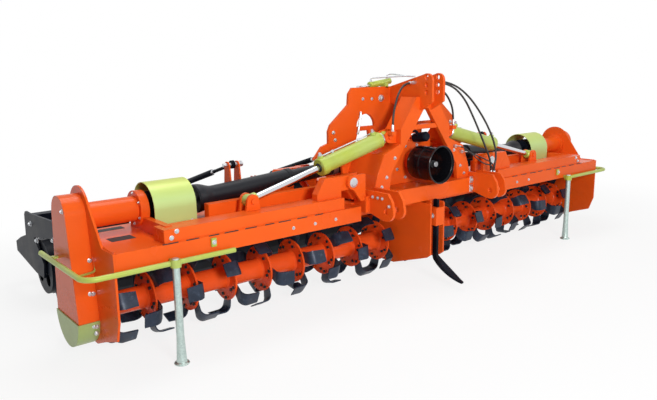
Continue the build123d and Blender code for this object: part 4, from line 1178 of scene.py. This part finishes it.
def boltRollerFrame(sideName, side):
    look = rollerBoltLook
    low, high = span("roller_frame_right")
    bolts = Shape(side)
    for back, z in look["endPlate"]:
        bolts.bolt(behind(high.x, back, z), xWay, 0.014)
    near, far = look["beamInsets"]
    for x in (high.x - far, high.x - near, low.x + near, low.x + far):
        bolts.bolt(behind(x, look["beamBack"], look["beamZ"]), yWay, 0.011)
    bolts.finish("roller_frame_bolts_" + sideName, "wing_" + sideName, "silver_zinc")


for sideName, side in sides.items():
    boltRollerFrame(sideName, side)
    dressWing(sideName, side)
    buildDepthLinks(sideName, side)
print("wings dressed")


# headstock bolts are (x, z), ear bolts (back, z); these are on both sides
headLook = {
    "rearBack": -0.090,         # faces of the rear plate, the tower legs and the front beam
    "legBack": -0.372,
    "beamBack": -0.423,
    "pivot": (0.154, 1.279),
    "coverBolts": ((0.240, 1.277), (0.324, 1.279)),
    "rearBolts": ((0.655, 0.93), (0.700, 0.93), (0.575, 1.02), (0.590, 1.07)),
    "legBolts": ((0.42, 0.72), (0.375, 0.78), (0.30, 0.90)),
    "earFace": 0.581,
    "earBolts": ((-0.540, 0.690), (-0.500, 0.690), (-0.455, 0.690), (-0.600, 0.650)),
    # steel line on the rear plate: (x, out from the plate, z)
    "line": ((0.350, 0.006, 1.195), (0.356, 0.010, 1.165), (0.372, 0.010, 1.085),
             (0.380, 0.006, 1.045)),
    "lineRadius": 0.008,
    "earWelds": (0.467, 0.487, 0.561, 0.581),
    "hingeBack": 0.062,
    "blockX": (0.425, 0.460),       # bolted blocks on the front beam, right side only
    "blockHeights": (0.612, 0.672),
}


def dressHead(bolts, welds):
    look = headLook
    rear, leg, beam = (axisY + look[key] for key in ("rearBack", "legBack", "beamBack"))
    hingeFront = span("hinge_pins")[0].y
    for side in (-1, 1):
        x, z = look["pivot"]
        bolts.bolt((side * x, rear, z), -yWay, 0.019)
        for x, z in look["coverBolts"]:
            bolts.bolt((side * x, rear, z), -yWay, 0.009)
        line = smoothPath([(side * x, rear - out, z) for x, out, z in look["line"]], 5)
        bolts.tube(line, look["lineRadius"], 10)
        for x, z in look["rearBolts"]:
            bolts.bolt((side * x, rear, z), -yWay, 0.010)
        for x, z in look["legBolts"]:
            bolts.bolt((side * x, leg, z), -yWay, 0.009)
        for back, z in look["earBolts"]:
            bolts.bolt(behind(side * look["earFace"], back, z), xWay * side, 0.009)
        welds.weld((side * 0.365, leg - 0.002, 0.692), (side * 0.485, leg - 0.002, 0.692))
        for x in look["earWelds"]:
            welds.weld((side * x, beam - 0.002, 0.590), (side * x, beam - 0.002, 0.688))
        welds.weld((side * 0.247, rear - 0.140, 1.080), (side * 0.247, rear - 0.250, 1.080))
        welds.weld(behind(side * 0.500, -0.310, 0.696), behind(side * 0.600, -0.310, 0.696))
        # washer behind each hinge pin's head
        for y in (hingeFront, axisY + look["hingeBack"]):
            rows = [(-0.003, 0.031), (0.003, 0.031), (0.0035, 0.029)]
            bolts.turned(rows, (side * foldPlace.x, y + 0.006, foldPlace.z), -yWay, 32)
    low, high = look["blockX"]
    for z in look["blockHeights"]:
        bolts.block((low, beam - 0.003, z - 0.026), (high, beam + 0.001, z + 0.026), 0.002)
        bolts.bolt(((low + high) / 2, beam - 0.003, z), -yWay, 0.013)


gearboxLook = {
    "ribs": (-0.150, -0.075, 0.0, 0.075, 0.150),
    "ribOutline": ((0, 0), (0.275, 0), (0.255, 0.020), (0.020, 0.020)),
    "faceInset": 0.065,         # from the forward edge to the casting's face
    "frontBolts": (0.150, 0.118),
    "sideCover": 0.088,
    "sideFace": 0.200,
    "sideBolts": 0.070,
    "rearCover": 0.115,
    "rearBolts": 0.098,
    "breather": (0.12, 0.02),
}


def dressGearbox(bolts, cast):
    look = gearboxLook
    face = gearLow.y + look["faceInset"]
    for x in look["ribs"]:
        spot = (x, face + 0.010, gearHigh.z - 0.001)
        cast.plate(look["ribOutline"], spot, yWay, zWay, 0.010)
    bolts.boltCircle((0, face, ptoPlace.z), -yWay, look["frontBolts"], 8, 22.5, 0.009)
    radius, cover = look["sideBolts"], look["sideCover"]
    for side in (-1, 1):
        x = side * look["sideFace"]
        rows = [(0, cover), (0.012, cover), (0.016, cover - 0.008)]
        cast.turned(rows, (x, axisY, shaftPin.z), xWay * side, 40)
        spot = (x + side * 0.012, axisY, shaftPin.z)
        bolts.boltCircle(spot, xWay * side, (radius, radius), 6, 0, 0.007)
    rear = (0, gearHigh.y + 0.012, shaftPin.z)
    cast.plate(circle((0, 0), look["rearCover"], 40), rear, xWay, zWay, 0.014)
    bolts.boltCircle(rear, yWay, (look["rearBolts"], look["rearBolts"]), 8, 0, 0.008)
    rows = [(-0.002, 0.012), (0.012, 0.012), (0.014, 0.016), (0.026, 0.016), (0.030, 0.010)]
    bolts.turned(rows, behind(*look["breather"], gearHigh.z), zWay, 14)


# a small valve with its hose, inside the headstock: (x, back, z)
valveLook = {
    "place": (0.03, -0.24, 1.00),
    "rows": ((0, 0.030), (0.05, 0.034), (0.11, 0.034), (0.12, 0.026)),
    "hose": ((0.02, -0.30, 1.01), (-0.05, -0.31, 1.06), (-0.09, -0.26, 1.03),
             (-0.11, -0.20, 0.98)),
    "hoseRadius": 0.010,
}


def dressCentre():
    look = valveLook
    bolts, welds, valve, cast = Shape(), Shape(), Shape(), Shape()
    dressHead(bolts, welds)
    dressGearbox(bolts, cast)
    cast.finish("gearbox_castings", "frame", "orange_paint")
    bolts.finish("centre_bolts", "frame", "silver_zinc")
    welds.finish("centre_welds", "frame", "orange_paint")
    valve.turned(look["rows"], behind(*look["place"]), (0, -1, 0.15), 28)
    hose = smoothPath([behind(*place) for place in look["hose"]])
    valve.tube(hose, look["hoseRadius"], 12)
    valve.finish("valve_block", "frame", "black_steel")


dressCentre()
print("centre dressed")


lockLook = {
    "inner": (-0.020, 1.394),       # both ends as (x, z)
    "tip": (-0.322, 1.353),
    "body": 0.205,
    "radius": 0.021,
    "rod": 0.008,
    "bracketX": (-0.110, -0.080),
    # where its two steel lines meet and end: (x, back, z)
    "lineEnds": ((-0.072, -0.250, 1.428), (-0.071, -0.330, 1.425)),
    "line": 0.005,
}


def buildLock():
    look = lockLook
    low, high = span("lock_cylinder")
    r, rod, length = look["radius"], look["rod"], look["body"]
    y = high.y - r
    inner, tip = (Vector((look[key][0], y, look[key][1])) for key in ("inner", "tip"))
    along = (tip - inner).normalized()
    reach = (tip - inner).length
    body, ends = Shape(), Shape()
    body.turned([(0, r - 0.005), (0.003, r), (length - 0.030, r), (length - 0.028, r + 0.003),
                 (length - 0.004, r + 0.003), (length, r - 0.002)], inner, along, 32)
    near, far = look["bracketX"]
    body.block((near, low.y, low.z), (far, y + 0.006, inner.z - 0.014), 0.002)
    ends.bar(inner + along * (length - 0.004), tip, rod, 20)
    ends.turned([(reach - 0.030, rod + 0.005), (reach - 0.014, rod + 0.005)], inner, along, 6)
    ends.pin(tip + xWay * 0.004, yWay * 0.014, 0.015, 24)
    for s in (0.030, length - 0.016):
        spot = inner + along * s + zWay * (r - 0.003)
        ends.turned([(0, 0.010), (0.014, 0.010), (0.016, 0.007), (0.024, 0.007)], spot, zWay, 6)
        line = [spot + Vector(step) for step in ((0, 0, 0.020), (0.006, -0.006, 0.030),
                                                 (0.030, -0.030, 0.032))]
        line += [behind(*place) for place in look["lineEnds"]]
        ends.tube(smoothPath(line), look["line"], 10)
    body.finish("lock_tube", "frame", "yellow_green_zinc", replaced=["lock_cylinder"])
    ends.finish("lock_rod", "frame", "silver_zinc")


legLook = {
    "tube": 0.0195,
    "flare": 0.0265,
    "foot": 0.040,
}


def buildLeg(sideName):
    tube, flare, foot = legLook["tube"], legLook["flare"], legLook["foot"]
    low, high = span("parking_leg_" + sideName)
    height = high.z - low.z
    leg = Shape()
    leg.turned([(0, foot - 0.002), (0.002, foot), (0.006, foot), (0.010, foot - 0.003),
                (0.014, flare + 0.002), (0.022, flare), (0.070, tube + 0.0045),
                (0.150, tube + 0.0006), (height - 0.004, tube), (height, tube - 0.003)],
               ((low.x + high.x) / 2, (low.y + high.y) / 2, low.z), zWay, 36)
    leg.finish("leg_tube_" + sideName, "leg_" + sideName, "galvanised",
               replaced=["parking_leg_" + sideName])


buildLock()
for sideName in sides:
    buildLeg(sideName)
print("lock and legs built")


tineLook = {
    "back": -0.456,             # rear face of the shank
    "width": 0.040,
    "thick": 0.022,
    "bendZ": 0.195,
    "sweep": 0.244,
    "tipZ": 0.057,
    "tipThick": 0.012,
    "sections": 14,
    "boltX": 0.040,
    "boltZ": 0.488,
}


def buildTine():
    look = tineLook
    high = span("centre_tine")[1]
    back, broad, narrow, bend = axisY + look["back"], look["width"], look["thick"], look["bendZ"]
    shank, bolt = Shape(), Shape()
    shank.block((-narrow / 2, back - broad, bend - 0.01), (narrow / 2, back, high.z), 0.003)
    # pointed foot, sweeping forward
    count = look["sections"]
    rows = []
    for k in range(count + 1):
        t = k / count
        y = back - broad / 2 - look["sweep"] * t ** 1.25
        z = bend * (1 - t) ** 1.15 + look["tipZ"] * t ** 0.9
        wide = narrow * (1.0 + 1.7 * math.sin(math.pi * min(t * 0.80, 1))) * (1 - 0.55 * t ** 4)
        thick = broad * (1 - t) + look["tipThick"] * t
        rows.append((y, z, wide / 2, thick / 2))
    points = []
    for k, (y, z, wide, thick) in enumerate(rows):
        before, after = rows[max(k - 1, 0)], rows[min(k + 1, count)]
        run = Vector((after[0] - before[0], after[1] - before[1])).normalized()
        for sx, st in ((-1, -1), (1, -1), (1, 1), (-1, 1)):
            points.append((sx * wide, y - run.y * st * thick, z + run.x * st * thick))
    shank.add(points, ringFaces(len(rows), 4))
    shank.finish("tine_shank", "frame", "black_steel", replaced=["centre_tine"])
    for side in (1, -1):
        spot = (side * look["boltX"], back - broad / 2, look["boltZ"])
        bolt.bolt(spot, xWay * side, 0.015)
    bolt.finish("tine_bolt", "frame", "silver_zinc")


buildTine()
print("tine built")


stageLook = {
    "floorHalf": 30,
    "floorColour": (0.88, 0.88, 0.88, 1),
    "floorGlow": 0.84,          # share of plain white near the machine
    "whiteFrom": 1.7,           # all white from the second distance on
    "whiteAt": 3.4,
    "oval": (0.66, 1, 1),
}


def buildStage():
    look = stageLook
    half = look["floorHalf"]
    mesh = bpy.data.meshes.new("floor")
    corners = [(-half, -half, 0), (half, -half, 0), (half, half, 0), (-half, half, 0)]
    mesh.from_pydata(corners, [], [(0, 1, 2, 3)])
    floor = addObject("floor", mesh)
    pale = Finish("pale_floor", baseColor=look["floorColour"], roughness=0.9)
    glow = pale.node("ShaderNodeEmission", {}, {"Color": (1, 1, 1, 1), "Strength": 1.0})
    surface = Wire(pale.tree, pale.shader.outputs[0])
    # pure white well away from the machine, so no horizon shows
    sockets = {0: pale.place, 1: look["oval"]}
    near = pale.node("ShaderNodeVectorMath", {"operation": "MULTIPLY"}, sockets)
    away = pale.node("ShaderNodeVectorMath", {"operation": "LENGTH"}, {0: near}, "Value")
    sockets = {"Value": away, "From Min": look["whiteFrom"], "From Max": look["whiteAt"],
               "To Min": look["floorGlow"], "To Max": 1.0}
    settings = {"clamp": True, "interpolation_type": "SMOOTHSTEP"}
    share = pale.node("ShaderNodeMapRange", settings, sockets)
    mixed = pale.node("ShaderNodeMixShader", {}, {0: pale.stageRays() * share, 1: surface, 2: glow})
    output = next(node for node in pale.tree.nodes if node.type == "OUTPUT_MATERIAL")
    pale.plug(output.inputs["Surface"], mixed)
    mesh.materials.append(pale.material)


lightLook = {
    "skyForObject": 0.20,       # what the object gets of the white sky
    "aim": (0, 0, 0.5),
    "lamps": {                  # place, power, size
        "key": ((-2.4, -6.2, 2.5), 240, 1.6),
        "fill": ((4.2, -4.8, 3.4), 55, 2.5),
        "top": ((-0.6, 0.5, 6.0), 170, 3.0),
    },
}


def buildLight():
    look = lightLook
    world = bpy.data.worlds.new("studio")
    bpy.context.scene.world = world
    world.use_nodes = True
    sky = Nodes(world.node_tree)
    background = sky.tree.nodes["Background"]
    dim = look["skyForObject"]
    sky.plug(background.inputs["Color"], (1, 1, 1, 1))
    sky.plug(background.inputs["Strength"], dim + (1 - dim) * sky.stageRays())
    for name, (place, power, size) in look["lamps"].items():
        light = bpy.data.lights.new(name, "AREA")
        light.energy = power
        light.size = size
        lamp = addObject(name, light)
        lamp.location = place
        way = Vector(look["aim"]) - Vector(place)
        lamp.rotation_euler = way.to_track_quat("-Z", "Y").to_euler()


cameraLook = {
    "eye": (-3.32413, -3.71389, 1.48360),
    "turn": 39.533,
    "dip": 11.517,
    "roll": -0.8514,
    "lens": 35.28,
    "shift": 0.0005,
}


def placeCamera():
    look = cameraLook
    lens = bpy.data.cameras.new("view")
    lens.lens = look["lens"]
    lens.shift_x = look["shift"]
    camera = addObject("view", lens)
    turn = Matrix.Rotation(-math.radians(look["turn"]), 4, "Z")
    dip = Matrix.Rotation(math.radians(90 - look["dip"]), 4, "X")
    roll = Matrix.Rotation(math.radians(look["roll"]), 4, "Z")
    camera.matrix_world = Matrix.Translation(look["eye"]) @ turn @ dip @ roll
    bpy.context.scene.camera = camera


buildStage()
buildLight()
placeCamera()
bpy.context.scene.view_settings.view_transform = "Standard"
print("stage, light and camera set")

bpy.context.view_layer.update()
print("pieces done")
